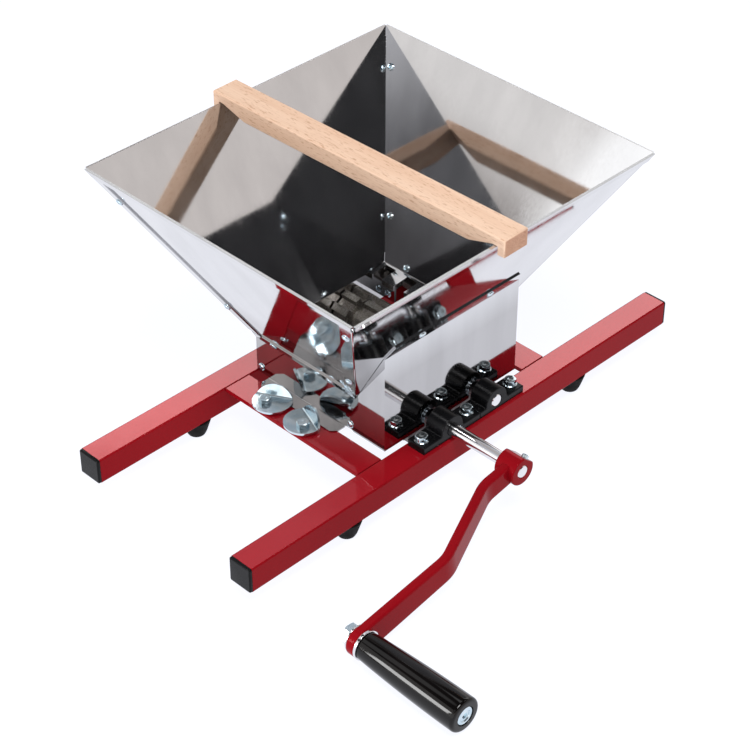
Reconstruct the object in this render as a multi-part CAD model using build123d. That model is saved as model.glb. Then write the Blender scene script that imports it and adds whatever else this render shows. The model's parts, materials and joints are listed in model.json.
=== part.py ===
from build123d import *
import math
import os

# Hand-cranked fruit crusher: a funnel hopper over two toothed rollers, on a frame of two rails.
# Millimetres. X runs along the rails, Y along the roller shafts (crank at -Y), Z up from the floor.

# Frame
foot_height = 18.0
foot_top_radius = 14.0
foot_edge_radius = 9.6
foot_edge_height = 4.0
foot_bottom_radius = 7.5
foot_recess_radius = 4.6
foot_recess_depth = 8.0
foot_x = 143.0
foot_screw_radius = 2.0
foot_screw_head_radius = 4.0
foot_screw_head_height = 2.2
foot_screw_reach = 4.0
tube_side = 25.0
tube_wall = 1.5
rail_length = 520.0
rail_gap = 167.0
cap_thickness = 3.0
cap_plug_depth = 12.0
cap_wall = 2.0
cross_bar_width = 28.4
cross_bar_thickness = 4.0
cross_bar_drop = 0.0
cross_bar_x = 103.3

# Sides of small round pieces: fastener shanks and their holes, heads and feet, rings and discs
shank_sides = 6
head_sides = 8
ring_sides = 12
disc_sides = 20

# Sheet metal and clearances
sheet = 1.2
bend_radius = 1.6
sheet_gap = 0.1
hole_clearance = 0.2
running_clearance = 0.05
seat_gap = 0.2

# Hopper
hopper_y = 18.0
throat_length = 126.4
throat_rise = 32.6
hopper_depth = 172.0
rim_width = 354.0
rim_length = 318.0
hem_width = 8.0
seam_flange_width = 12.0
seam_flange_low = 14.0
seam_flange_high = 6.0
finger_width = 15.0
finger_pitch = 28.0
finger_count = 4
finger_first_y = 56.5
finger_end_width = 5.0
finger_lip = 5.0
finger_droop = 5.0
finger_running_gap = 1.5

# Crushing chamber and gear cover
housing_width = 164.8
cover_depth = 35.4
cover_gap = 2.6
cover_lip = 14.0
cover_lip_mitre = 7.0
cover_return = 11.5
cover_return_corner = 9.0
wall_lip = 10.0
wall_gap = 2.5
plate_return = 14.0
plate_return_drop = 6.8
shaft_hole_radius = 8.5
tab_reach = 14.3
tab_length = 97.0
tab_corner = 5.0
clamp_y = 17.6

# Drive
drive_x = 3.0
shaft_pitch = 56.0
shaft_rise = 9.2
shaft_radius = 6.0
drum_radius = 21.5
tooth_tip_radius = 26.5
tooth_width = 7.0
tooth_count = 10
segment_count = 5
groove_width = 7.4
groove_radius = 15.0
roller_end_gap = 1.3
pin_radius = 2.0
gear_teeth = 20
gear_width = 14.0
gear_hub_radius = 13.0
gear_hub_length = 8.0
gear_backlash = 0.25
pressure_angle = 20.0
gear_gap = 3.0
ring_radius = 8.6
ring_thickness = 1.2
ring_mouth = 5.0

# Pillow blocks and their bolts
block_depth = 20.0
block_radius = 13.0
ear_thickness = 7.0
ear_overhang = 7.0
tongue_width = 12.0
tongue_height = 2.4
tongue_reach = 6.0
block_edge = 1.0
bolt_radius = 3.0
bolt_flats = 10.0
bolt_head_height = 4.5
bolt_flange_radius = 6.4
bolt_flange_height = 1.5
nut_height = 5.0
bolt_tail = 2.0

# Crank
boss_radius = 13.3
boss_length = 21.0
boss_flat = 11.0
boss_stand_off = 60.0
arm_hub_width = 20.0
arm_thickness = 9.0
arm_offset = 31.5
arm_bend_start = 37.0
arm_bend_end = 115.0
arm_bend_radius = 25.0
arm_hub_plane = 11.0
arm_eye_radius = 13.0
arm_edge = 1.0
crank_radius = 215.0
crank_drop_angle = 9.4
set_screw_radius = 3.0
set_screw_stand = 3.0
set_screw_lean = 50.0
grip_length = 106.0
grip_root_radius = 12.5
grip_belly_radius = 15.6
grip_nose = 5.0
grip_recess_depth = 3.0
grip_washer_radius = 13.4
grip_washer_thickness = 2.5
nut_washer_radius = 12.0
nut_washer_thickness = 1.6
handle_bolt_radius = 5.0
handle_head_radius = 8.5
handle_head_height = 3.0
handle_nut_flats = 17.0
handle_nut_height = 8.0

# Clamp discs
disc_radius = 18.0
disc_thickness = 2.0
disc_fold = 7.0
disc_fold_angle = 70.0
disc_hole_back = 3.1
disc_hole_side = 5.9
disc_boss_radius = 8.0
rear_disc_angle = 29.3
front_disc_angle = -21.0
clamp_bolt_x = 108.1
clamp_bolt_spread = 48.5

# Rivets of the sheet metal
rivet_radius = 2.0
rivet_head_radius = 3.6
rivet_head_height = 1.6
rivet_head_taper = 40.0
seam_rivet_inset = 6.5
seam_rivet_fractions = (0.17, 0.80)
lip_rivet_spread_y = 71.0
lip_rivet_spread_x = 83.0
lip_rivet_y = 19.4
wall_lip_rivet = 6.2
cover_lip_rivet = 7.0
wall_rivet_rise = 6.4
wall_rivet_inset = 6.0

# Wooden bar across the rim
wood_length = 341.0
wood_width = 28.5
wood_height = 17.5
wood_rise = 9.2
wood_x = -9.8
wood_skew = 1.0
wood_edge = 1.2
wood_notch_outer = 0.9
wood_notch_inner = 2.0
wood_notch_ramp = 33.0

# Levels and planes that follow from the sizes above
rail_bottom = foot_height
rail_top = rail_bottom + tube_side
rail_y = rail_gap / 2 + tube_side / 2
bar_top = rail_top - cross_bar_drop
bar_bottom = bar_top - cross_bar_thickness
shaft_height = rail_top + shaft_rise
throat_height = shaft_height + throat_rise
rim_height = throat_height + hopper_depth
wood_top = rim_height + wood_rise
cover_bottom = rail_top + cover_gap
wall_bottom = bar_top + wall_gap
wall_rivet_height = cover_bottom + wall_rivet_rise
plate_return_top = throat_height - plate_return_drop
wall_outer = housing_width / 2 - sheet - sheet_gap
wall_inner = wall_outer - sheet
throat_width = 2 * wall_inner
slope_x = (rim_width - throat_width) / 2 / hopper_depth
slope_y = (rim_length - throat_length) / 2 / hopper_depth
lean_x = math.atan(slope_x)
lean_y = math.atan(slope_y)
throat_front = hopper_y - throat_length / 2
throat_rear = hopper_y + throat_length / 2
cover_front = throat_front - cover_depth
drive_shaft_x = drive_x - shaft_pitch / 2
driven_shaft_x = drive_x + shaft_pitch / 2
block_inner = rail_y - block_depth / 2
block_outer = rail_y + block_depth / 2
bolt_xs = [drive_x - shaft_pitch, drive_x, drive_x + shaft_pitch]
roller_front = throat_front + roller_end_gap
roller_rear = throat_rear - roller_end_gap
segment_width = (roller_rear - roller_front - (segment_count - 1) * groove_width) / segment_count
gear_rear = throat_front - sheet - gear_gap - gear_hub_length
gear_front = gear_rear - gear_width
boss_rear = -block_outer - boss_stand_off
boss_front = boss_rear - boss_length
arm_hub_y = boss_rear - arm_hub_plane
arm_end_y = arm_hub_y - arm_offset
arm_end_front = arm_end_y - arm_thickness / 2
arm_end_rear = arm_end_y + arm_thickness / 2
grip_rear = arm_end_front - grip_washer_thickness - seat_gap
grip_front = grip_rear - grip_length
disc_bottom = bar_top + sheet + seat_gap
disc_top = disc_bottom + disc_thickness


def slab(x0, x1, y0, y1, z0, z1):
    return Pos((x0 + x1) / 2, (y0 + y1) / 2, (z0 + z1) / 2) * Box(x1 - x0, y1 - y0, z1 - z0)


def rod_y(x, y0, y1, z, radius):
    return Pos(x, (y0 + y1) / 2, z) * Rot(90, 0, 0) * Cylinder(radius, abs(y1 - y0))


def rod_z(x, y, z0, z1, radius):
    return Pos(x, y, (z0 + z1) / 2) * Cylinder(radius, abs(z1 - z0))


def peg_z(x, y, z0, z1, radius, sides=shank_sides):
    # a small round piece, or the hole for it
    return Pos(x, y, z0) * extrude(RegularPolygon(radius, sides), z1 - z0)


def peg_y(x, y0, y1, z, radius, sides=shank_sides):
    low, high = sorted((y0, y1))
    return prism_y(Pos(x, z) * RegularPolygon(radius, sides), low, high)


def around(radius, sides):
    # the corner radius of a polygon whose flats clear a round of this radius
    return radius / math.cos(math.pi / sides)


def tapered(bottom_radius, top_radius, height, sides):
    taper = math.degrees(math.atan((bottom_radius - top_radius) * math.cos(math.pi / sides) / height))
    return extrude(RegularPolygon(bottom_radius, sides), height, taper=taper)


def hex_z(x, y, z0, z1, flats):
    return peg_z(x, y, z0, z1, around(flats / 2, 6), 6)


def prism_x(face, x0, x1):
    # a face drawn in (y, z), drawn out along X
    return extrude(Plane.YZ.offset(x0) * face, x1 - x0)


def prism_y(face, y0, y1):
    # a face drawn in (x, z), drawn out along Y
    return extrude(Plane.XZ.offset(-y1) * face, y1 - y0)


def outline(*points):
    return make_face(Polyline(*points, close=True))


def bent(*points):
    # the edge view of a bent sheet, its middle line through the points
    return trace(FilletPolyline(*points, radius=bend_radius), sheet)


def mirrored(shape):
    return mirror(shape, Plane.YZ)


def x_inside(z):
    return throat_width / 2 + slope_x * (z - throat_height)


def y_rear_inside(z):
    return throat_rear + slope_y * (z - throat_height)


def y_front_inside(z):
    return throat_front - slope_y * (z - throat_height)


parts = {}


# Rails, end caps, cross bars and feet
def rail(side):
    y = side * rail_y
    z = rail_bottom + tube_side / 2
    body = Pos(0, y, z) * Box(rail_length, tube_side, tube_side)
    body = fillet(body.edges().filter_by(Axis.X), tube_wall)
    body -= Pos(0, y, z) * Box(rail_length, tube_side - 2 * tube_wall, tube_side - 2 * tube_wall)
    for x in bolt_xs:
        body -= peg_z(x, y, rail_bottom, rail_top, bolt_radius + hole_clearance)
    for x in (-foot_x, foot_x):
        body -= peg_z(x, y, rail_bottom, rail_bottom + tube_wall, foot_screw_radius + hole_clearance)
    return body


def end_cap(x_sign, side):
    y = side * rail_y
    z = rail_bottom + tube_side / 2
    plug_side = tube_side - 2 * tube_wall - 2 * sheet_gap
    head = Pos(cap_thickness / 2, 0, 0) * Box(cap_thickness, tube_side, tube_side)
    head = chamfer(head.edges().filter_by(Axis.X), tube_wall)
    head = chamfer(head.faces().sort_by(Axis.X)[-1].edges(), cap_thickness / 3)
    plug = Pos(-cap_plug_depth / 2, 0, 0) * Box(cap_plug_depth, plug_side, plug_side)
    core_side = plug_side - 2 * cap_wall
    plug -= Pos(-cap_plug_depth / 2, 0, 0) * Box(cap_plug_depth, core_side, core_side)
    cap = Pos(rail_length / 2, y, z) * (head + plug)
    return cap if x_sign > 0 else mirrored(cap)


def cross_bar(side):
    x = side * cross_bar_x
    half = cross_bar_width / 2
    bar = slab(x - half, x + half, -rail_gap / 2, rail_gap / 2, bar_bottom, bar_top)
    for y in clamp_bolt_ys:
        bar -= peg_z(side * clamp_bolt_x, y, bar_bottom, bar_top, bolt_radius + hole_clearance)
    return bar


def foot(x, y):
    body = tapered(foot_bottom_radius, foot_edge_radius, foot_edge_height, ring_sides)
    upper = tapered(foot_edge_radius, foot_top_radius, foot_height - foot_edge_height, ring_sides)
    body += Pos(0, 0, foot_edge_height) * upper
    body -= peg_z(0, 0, 0, foot_recess_depth, foot_recess_radius, head_sides)
    body -= peg_z(0, 0, foot_recess_depth, foot_height, foot_screw_radius + hole_clearance)
    return Pos(x, y, 0) * body


def foot_screw(x, y):
    seat = foot_recess_depth
    head = peg_z(x, y, seat - foot_screw_head_height, seat, foot_screw_head_radius, head_sides)
    return head + peg_z(x, y, seat, rail_bottom + tube_wall + foot_screw_reach, foot_screw_radius)


clamp_bolt_ys = [clamp_y - clamp_bolt_spread / 2, clamp_y + clamp_bolt_spread / 2]
corners = [(sx * foot_x, sy * rail_y) for sx in (-1, 1) for sy in (-1, 1)]
parts["front_rail"] = rail(-1)
parts["rear_rail"] = rail(1)
parts["left_cross_bar"] = cross_bar(-1)
parts["right_cross_bar"] = cross_bar(1)
parts["rail_end_caps"] = [end_cap(sx, sy) for sx in (-1, 1) for sy in (-1, 1)]
parts["rubber_feet"] = [foot(x, y) for x, y in corners]
parts["foot_screws"] = [foot_screw(x, y) for x, y in corners]


# Rivets stand square to the sheet; "at" is the outer face, "out" the way the outer head points
def rivet(at, out, grip):
    head = extrude(RegularPolygon(rivet_head_radius, shank_sides), rivet_head_height, taper=rivet_head_taper)
    set_head = Pos(0, 0, -grip) * Rot(180, 0, 0) * head
    return Plane(origin=at, z_dir=out) * (head + set_head + peg_z(0, 0, -grip, 0, rivet_radius))


def rivet_hole(at, out, grip):
    hole = peg_z(0, 0, -grip - rivet_head_height, rivet_head_height, rivet_radius + hole_clearance)
    return Plane(origin=at, z_dir=out) * hole


out_x = (math.cos(lean_x), 0, -math.sin(lean_x))
out_front = (0, -math.cos(lean_y), -math.sin(lean_y))
stack = 2 * sheet + sheet_gap


def on_side_panel(y, z):
    # the point of the right panel's outer face at height z
    return (x_inside(z) + sheet / math.cos(lean_x), y, z)


def seam_rivet_places():
    places = []
    for fraction in seam_rivet_fractions:
        z = rim_height - fraction * hopper_depth
        places.append(on_side_panel(y_front_inside(z) + seam_rivet_inset, z))
        places.append(on_side_panel(y_rear_inside(z) - seam_rivet_inset, z))
    return places


# The lip of a wall lies on the outer face of the hopper panel above it
lip_off = (1.5 * sheet + sheet_gap) / math.cos(lean_x)
wall_mid = wall_outer - sheet / 2
wall_bend = throat_height + (wall_mid - lip_off - throat_width / 2) / slope_x
rear_mid = throat_rear + sheet / 2
rear_off = (1.5 * sheet + sheet_gap) / math.cos(lean_y)
rear_bend = throat_height + (rear_mid - rear_off - throat_rear) / slope_y
cover_mid = cover_front + sheet / 2
cover_bend = throat_height + (throat_front - cover_mid - rear_off) / slope_y
side_lip_z = wall_bend + wall_lip_rivet * math.cos(lean_x)
front_lip_z = cover_bend + cover_lip_rivet * math.cos(lean_y)


def lip_rivet_place_side(y):
    off = (sheet + sheet_gap + sheet) / math.cos(lean_x)
    return (x_inside(side_lip_z) + off, y, side_lip_z)


def lip_rivet_place_front(x):
    off = (sheet + sheet_gap + sheet) / math.cos(lean_y)
    return (x, y_front_inside(front_lip_z) - off, front_lip_z)


seam_rivets_right = [(at, out_x) for at in seam_rivet_places()]
lip_rivets_right = [(lip_rivet_place_side(lip_rivet_y + s * lip_rivet_spread_y / 2), out_x) for s in (-1, 1)]
lip_xs = [-lip_rivet_spread_x / 2, lip_rivet_spread_x / 2]
lip_rivets_front = [(lip_rivet_place_front(x), out_front) for x in lip_xs]
wall_rivet_front_y = throat_front + wall_rivet_inset
wall_rivet_rear_y = throat_rear - wall_rivet_inset
wall_rivets_front = ((housing_width / 2, wall_rivet_front_y, wall_rivet_height), (1, 0, 0))
wall_rivets_rear = ((wall_outer, wall_rivet_rear_y, wall_rivet_height), (1, 0, 0))


def drill(shape, places, grip):
    for at, out in places:
        shape -= rivet_hole(at, out, grip)
    return shape


# Hopper: side panels with guard fingers at the throat, front and rear panels with seam flanges
def side_panel(roller_x):
    z_mid = throat_height - sheet / 2
    half_normal = sheet / 2 / math.cos(lean_x)
    rim_mid = (x_inside(rim_height) + half_normal, rim_height)
    bend = (x_inside(z_mid) + half_normal, z_mid)
    finger_end = roller_x + tooth_tip_radius + finger_running_gap + sheet / 2
    tip_z = z_mid - (bend[0] - finger_end) * math.tan(math.radians(finger_droop))
    profile = bent(rim_mid, bend, (finger_end - sheet / 2, tip_z))
    profile += trace(Line((finger_end, tip_z), (finger_end, tip_z - finger_lip)), sheet)
    hem_off = 1.5 * sheet / math.cos(lean_x)
    hem_low = rim_height - hem_width * math.cos(lean_x)
    hem_top = (x_inside(rim_height) + hem_off, rim_height)
    profile += trace(Line(hem_top, (x_inside(hem_low) + hem_off, hem_low)), sheet)
    panel = prism_y(profile, y_front_inside(rim_height), y_rear_inside(rim_height))
    reach = rim_height + hem_width
    foot_z = throat_height - 2 * finger_lip
    trim = outline(
        (throat_front + sheet_gap, foot_z),
        (throat_rear - sheet_gap, foot_z),
        (throat_rear - sheet_gap, throat_height),
        (y_rear_inside(reach) - sheet_gap, reach),
        (y_front_inside(reach) + sheet_gap, reach),
        (throat_front + sheet_gap, throat_height),
    )
    panel &= prism_x(trim, 0, rim_width)
    slot_root = throat_width / 2 - 2 * sheet
    edges = [throat_rear, throat_rear - finger_end_width]
    for i in range(finger_count):
        middle = finger_first_y - i * finger_pitch
        edges += [middle + finger_width / 2, middle - finger_width / 2]
    edges.append(throat_front)
    for high, low in zip(edges[1::2], edges[2::2]):
        panel -= slab(finger_end - sheet, slot_root, low, high, foot_z, throat_height + sheet)
    return drill(panel, seam_rivets_right + lip_rivets_right, stack)


def end_panel(inside, middle_sign):
    # the panel at one end of the shafts; middle_sign is +1 at the rear, -1 at the front
    half_normal = middle_sign * sheet / 2 / math.cos(lean_y)
    hem_off = 3 * half_normal
    hem_low = rim_height - hem_width * math.cos(lean_y)
    foot_point = (inside(throat_height) + half_normal, throat_height)
    profile = trace(Line(foot_point, (inside(rim_height) + half_normal, rim_height)), sheet)
    hem_end = (inside(hem_low) + hem_off, hem_low)
    profile += trace(Line(hem_end, (inside(rim_height) + hem_off, rim_height)), sheet)
    panel = prism_x(profile, -rim_width / 2, rim_width / 2)
    low = throat_height - hem_width
    high = rim_height + hem_width
    trim = outline(
        (-x_inside(low) + sheet_gap, low),
        (x_inside(low) - sheet_gap, low),
        (x_inside(high) - sheet_gap, high),
        (-x_inside(high) + sheet_gap, high),
    )
    panel &= prism_y(trim, -rim_length, rim_length)
    return panel + seam_flange(inside, middle_sign) + mirrored(seam_flange(inside, middle_sign))


def seam_flange(inside, middle_sign):
    # a strip of the end panel, bent to lie on the inner face of the right side panel
    low = throat_height + seam_flange_low
    high = rim_height - seam_flange_high
    off = (sheet / 2 + sheet_gap) / math.cos(lean_x)
    strip = trace(Line((x_inside(low) - off, low), (x_inside(high) - off, high)), sheet)
    strip = prism_y(strip, -rim_length, rim_length)
    root = middle_sign * sheet / 2
    tip = -middle_sign * seam_flange_width
    trim = outline(
        (inside(low) + root, low - sheet),
        (inside(low) + tip, low - sheet),
        (inside(high) + tip, high + sheet),
        (inside(high) + root, high + sheet),
    )
    strip &= prism_x(trim, 0, rim_width)
    return drill(strip, seam_rivets_right, stack)


parts["right_hopper_panel"] = side_panel(driven_shaft_x)
parts["left_hopper_panel"] = mirrored(side_panel(-drive_shaft_x))
parts["front_hopper_panel"] = drill(end_panel(y_front_inside, -1), lip_rivets_front, stack)
parts["rear_hopper_panel"] = end_panel(y_rear_inside, 1)


# Crushing chamber: side walls with foot tabs, inner plate and rear plate
def side_wall():
    lip_top = wall_bend + wall_lip * math.cos(lean_x)
    profile = bent(
        (wall_mid + tab_reach, bar_top + sheet / 2),
        (wall_mid, bar_top + sheet / 2),
        (wall_mid, wall_bend),
        (wall_mid + wall_lip * math.sin(lean_x), lip_top),
    )
    wall = prism_y(profile, throat_front, throat_rear)
    for low, high in ((-rail_gap, clamp_y - tab_length / 2), (clamp_y + tab_length / 2, rail_gap)):
        wall -= slab(wall_inner - sheet, wall_outer + 2 * tab_reach, low, high, bar_bottom, wall_bottom)
    wall = chamfer(wall.edges().filter_by(Axis.Z).sort_by(Axis.X)[-2:], tab_corner)
    wall = drill(wall, lip_rivets_right, stack)
    return drill(wall, [wall_rivets_front, wall_rivets_rear], 3 * stack)


def shaft_slots(y0, y1):
    # round-topped slots open at the bottom, so that the housing lifts off the shafts
    r = shaft_hole_radius
    slots = []
    for x in (drive_shaft_x, driven_shaft_x):
        slots.append(peg_y(x, y0, y1, shaft_height, around(r, ring_sides), ring_sides))
        slots.append(slab(x - r, x + r, y0, y1, bar_bottom, shaft_height))
    return slots


def end_plate(profile, y_inner, y_back):
    # a plate across the chamber with a flange on each side wall, from y_inner back to y_back
    edge = wall_inner - sheet_gap
    plate = prism_x(profile, -edge, edge)
    low, high = sorted((y_inner, y_back))
    flange = slab(edge - sheet, edge, low, high, cover_bottom, plate_return_top)
    flange = drill(flange, [wall_rivets_front, wall_rivets_rear], 3 * stack)
    plate += flange + mirrored(flange)
    return plate - shaft_slots(low - 4 * sheet, high + 4 * sheet)


parts["right_wall"] = side_wall()
parts["left_wall"] = mirrored(side_wall())
rear_profile = bent(
    (rear_mid, cover_bottom),
    (rear_mid, rear_bend),
    (rear_mid + wall_lip * math.sin(lean_y), rear_bend + wall_lip * math.cos(lean_y)),
)
parts["rear_plate"] = end_plate(rear_profile, rear_mid, throat_rear - plate_return)
inner_mid = throat_front - sheet / 2
inner_profile = trace(Line((inner_mid, cover_bottom), (inner_mid, throat_height - sheet)), sheet)
parts["inner_plate"] = end_plate(inner_profile, inner_mid, throat_front + plate_return)


# Gear cover: front wall with a lip on the hopper's front panel and a return on each side wall
def gear_cover():
    lip_y = cover_mid - cover_lip * math.sin(lean_y)
    lip_z = cover_bend + cover_lip * math.cos(lean_y)
    half = housing_width / 2
    cover = prism_x(bent((cover_mid, cover_bottom), (cover_mid, cover_bend), (lip_y, lip_z)), -half, half)
    for sign in (-1, 1):
        mitre = outline(
            (sign * half, cover_bend),
            (sign * 2 * half, cover_bend),
            (sign * 2 * half, lip_z + sheet),
            (sign * (half - cover_lip_mitre), lip_z + sheet),
        )
        cover -= prism_y(mitre, lip_y - sheet, cover_mid + sheet)
    panel_gap = (sheet + 3 * sheet_gap) / math.cos(lean_y)
    top_y = cover_front + sheet / 2
    top_z = throat_height + (throat_front - panel_gap - top_y) / slope_y
    side = outline(
        (cover_front + sheet / 2, cover_bottom),
        (top_y, top_z),
        (throat_front - panel_gap, throat_height),
        (throat_front + cover_return, throat_height - plate_return - wall_rivet_inset),
        (throat_front + cover_return, cover_bottom + cover_return_corner),
        (throat_front + cover_return - cover_return_corner, cover_bottom),
    )
    side = prism_x(side, half - sheet, half)
    side = drill(side, [wall_rivets_front], 3 * stack)
    cover += side + mirrored(side)
    cover -= shaft_slots(cover_front - sheet, cover_front + 2 * sheet)
    return drill(cover, lip_rivets_front, stack)


parts["gear_cover"] = gear_cover()


# The rivets, each group a mirrored pair of sides
def both_sides(shapes):
    return shapes + [mirrored(s) for s in shapes]


def rivets(places, grip):
    return [rivet(at, out, grip) for at, out in places]


wall_grip_front = 3 * sheet + 2 * sheet_gap
front_rivet = rivets([wall_rivets_front], wall_grip_front)
rear_rivet = rivets([wall_rivets_rear], stack)
parts["seam_rivets"] = both_sides(rivets(seam_rivets_right, stack))
parts["lip_rivets"] = both_sides(rivets(lip_rivets_right, stack))
parts["lip_rivets"] += rivets(lip_rivets_front, stack)
parts["wall_rivets"] = both_sides(front_rivet + rear_rivet)


# Pillow blocks: arched barrel on a foot; of each pair, the right one has a tongue under the left one's ear
def tongue(side, extra):
    y = side * rail_y
    half = tongue_width / 2 + extra
    x0 = drive_x - tongue_reach - extra
    x1 = drive_x + ear_overhang + 2 * sheet_gap
    return slab(x0, x1, y - half, y + half, rail_top, rail_top + tongue_height + extra)


def pillow_block(shaft_x, side):
    low_y, high_y = sorted((side * block_inner, side * block_outer))
    ear_top = rail_top + ear_thickness
    barrel = Pos(shaft_x, shaft_height) * RegularPolygon(block_radius, disc_sides)
    side_height = shaft_height - rail_top
    barrel += Pos(shaft_x, rail_top + side_height / 2) * Rectangle(2 * block_radius, side_height)
    barrel -= Pos(shaft_x, rail_top - block_radius) * Rectangle(4 * block_radius, 2 * block_radius)
    block = prism_y(barrel, low_y, high_y)
    end_edges = block.faces().filter_by(Axis.Y).edges()
    block = chamfer(end_edges.filter_by_position(Axis.Z, (ear_top + rail_top) / 2, rim_height), block_edge)
    if shaft_x < drive_x:
        x0 = shaft_x - shaft_pitch / 2 - ear_overhang
        block += slab(x0, drive_x + ear_overhang, low_y, high_y, rail_top, ear_top)
        block -= tongue(side, sheet_gap)
    else:
        x1 = shaft_x + shaft_pitch / 2 + ear_overhang
        block += slab(drive_x + ear_overhang + sheet_gap, x1, low_y, high_y, rail_top, ear_top)
        block += tongue(side, 0)
    block -= rod_y(shaft_x, low_y, high_y, shaft_height, shaft_radius + running_clearance)
    for x in (shaft_x - shaft_pitch / 2, shaft_x + shaft_pitch / 2):
        block -= peg_z(x, side * rail_y, rail_top, ear_top, bolt_radius + hole_clearance)
    return block


def block_bolt(x, y):
    seat = rail_top + ear_thickness
    flange_top = seat + bolt_flange_height
    flange = peg_z(x, y, seat, flange_top, bolt_flange_radius, head_sides)
    head = hex_z(x, y, flange_top, flange_top + bolt_head_height, bolt_flats)
    return flange + head + peg_z(x, y, rail_bottom - nut_height - bolt_tail, seat, bolt_radius)


def bolt_nut(x, y, seat):
    nut = hex_z(x, y, seat - nut_height, seat, bolt_flats)
    return nut - peg_z(x, y, seat - nut_height, seat, bolt_radius + running_clearance)


bolt_places = [(x, side * rail_y) for side in (-1, 1) for x in bolt_xs]
parts["front_left_block"] = pillow_block(drive_shaft_x, -1)
parts["front_right_block"] = pillow_block(driven_shaft_x, -1)
parts["rear_left_block"] = pillow_block(drive_shaft_x, 1)
parts["rear_right_block"] = pillow_block(driven_shaft_x, 1)
parts["block_bolts"] = [block_bolt(x, y) for x, y in bolt_places]
parts["block_nuts"] = [bolt_nut(x, y, rail_bottom) for x, y in bolt_places]


# Rollers: toothed drum segments between narrower grooves, pinned to the shaft
def pin_ys():
    step = segment_width + groove_width
    first = roller_front + segment_width + groove_width / 2
    return [first, first + (segment_count - 2) * step]


def pins(x):
    top = shaft_height + groove_radius - running_clearance
    return [peg_z(x, y, shaft_height + running_clearance, top, pin_radius) for y in pin_ys()]


def pin_holes(x):
    high = shaft_height + tooth_tip_radius
    return [peg_z(x, y, shaft_height, high, pin_radius + running_clearance) for y in pin_ys()]


def shaft_bore(x, y0, y1):
    bore = around(shaft_radius + running_clearance, ring_sides)
    return peg_y(x, y0, y1, shaft_height, bore, ring_sides)


def toothed_section(turn):
    # square teeth on a drum, which is flat from tooth to tooth
    root_angle = math.asin(tooth_width / 2 / drum_radius)
    tip_angle = math.asin(tooth_width / 2 / tooth_tip_radius)
    corner_places = [
        (drum_radius, -root_angle),
        (tooth_tip_radius, -tip_angle),
        (tooth_tip_radius, tip_angle),
        (drum_radius, root_angle),
    ]
    points = []
    for k in range(tooth_count):
        middle = 2 * math.pi * (k + turn) / tooth_count
        points += [(r * math.cos(middle + a), r * math.sin(middle + a)) for r, a in corner_places]
    return outline(*points)


def roller(x):
    body = peg_y(x, roller_front, roller_rear, shaft_height, groove_radius, 2 * tooth_count)
    for i in range(segment_count):
        section = Pos(x, shaft_height) * toothed_section(i / segment_count)
        y0 = roller_front + i * (segment_width + groove_width)
        body += prism_y(section, y0, y0 + segment_width)
    body -= shaft_bore(x, roller_front, roller_rear)
    for hole in pin_holes(x):
        body -= hole
    return body


def retaining_rings(x):
    rings = []
    half_mouth = ring_mouth / 2
    for sign in (-1, 1):
        seat = block_inner - seat_gap
        low, high = sorted((sign * seat, sign * (seat - ring_thickness)))
        ring = peg_y(x, low, high, shaft_height, ring_radius, ring_sides)
        ring -= shaft_bore(x, low, high)
        ring -= slab(x - half_mouth, x + half_mouth, low, high, shaft_height - 2 * ring_radius, shaft_height)
        rings.append(ring)
    return rings


# Spur gears on the shafts, inside the cover
def gear(x, turn):
    pitch_radius = shaft_pitch / 2
    module = shaft_pitch / gear_teeth
    base_radius = pitch_radius * math.cos(math.radians(pressure_angle))
    tip_radius = pitch_radius + module
    root_radius = pitch_radius - 1.25 * module
    half_tooth = math.pi / 2 / gear_teeth - gear_backlash / 2 / pitch_radius

    def spread(radius):
        roll = math.sqrt((radius / base_radius) ** 2 - 1)
        return roll - math.atan(roll)

    flank = [pitch_radius, tip_radius]
    half_angles = [half_tooth + spread(pitch_radius) - spread(r) for r in flank]
    root_half_angle = half_tooth + spread(pitch_radius)
    points = []
    for k in range(gear_teeth):
        middle = 2 * math.pi * k / gear_teeth + math.radians(turn)
        rising = [(root_radius, root_half_angle)] + list(zip(flank, half_angles))
        for r, a in rising:
            points.append((r * math.cos(middle - a), r * math.sin(middle - a)))
        for r, a in reversed(rising):
            points.append((r * math.cos(middle + a), r * math.sin(middle + a)))
    wheel = prism_y(Pos(x, shaft_height) * outline(*points), gear_front, gear_rear)
    wheel += peg_y(x, gear_rear, gear_rear + gear_hub_length, shaft_height, gear_hub_radius, gear_teeth)
    wheel -= shaft_bore(x, gear_front, gear_rear + gear_hub_length)
    return wheel - gear_screw(x, running_clearance)


def gear_screw(x, extra):
    y = gear_rear + gear_hub_length / 2
    foot_z = shaft_height + shaft_radius + running_clearance
    return peg_z(x, y, foot_z, shaft_height + gear_hub_radius + set_screw_stand, set_screw_radius + extra)


def shaft(x, front):
    body = rod_y(x, front, block_outer, shaft_height, shaft_radius)
    for hole in pin_holes(x):
        body -= hole
    return body


half_tooth_turn = 180 / gear_teeth
parts["drive_shaft"] = shaft(drive_shaft_x, boss_front)
parts["driven_shaft"] = shaft(driven_shaft_x, -block_outer)
parts["drive_roller"] = roller(drive_shaft_x)
parts["driven_roller"] = roller(driven_shaft_x)
parts["drive_roller_pins"] = pins(drive_shaft_x)
parts["driven_roller_pins"] = pins(driven_shaft_x)
parts["drive_gear"] = gear(drive_shaft_x, 0)
parts["driven_gear"] = gear(driven_shaft_x, half_tooth_turn)
parts["drive_gear_screw"] = gear_screw(drive_shaft_x, 0)
parts["driven_gear_screw"] = gear_screw(driven_shaft_x, 0)
parts["drive_shaft_rings"] = retaining_rings(drive_shaft_x)
parts["driven_shaft_rings"] = retaining_rings(driven_shaft_x)


# Crank: boss, offset arm and eye, drawn pointing along -X and then turned down to its rest angle
def crank_turn(shape):
    return Pos(drive_shaft_x, 0, shaft_height) * Rot(0, -crank_drop_angle, 0) * shape


def leaned(shape):
    return Rot(0, set_screw_lean, 0) * shape


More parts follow.
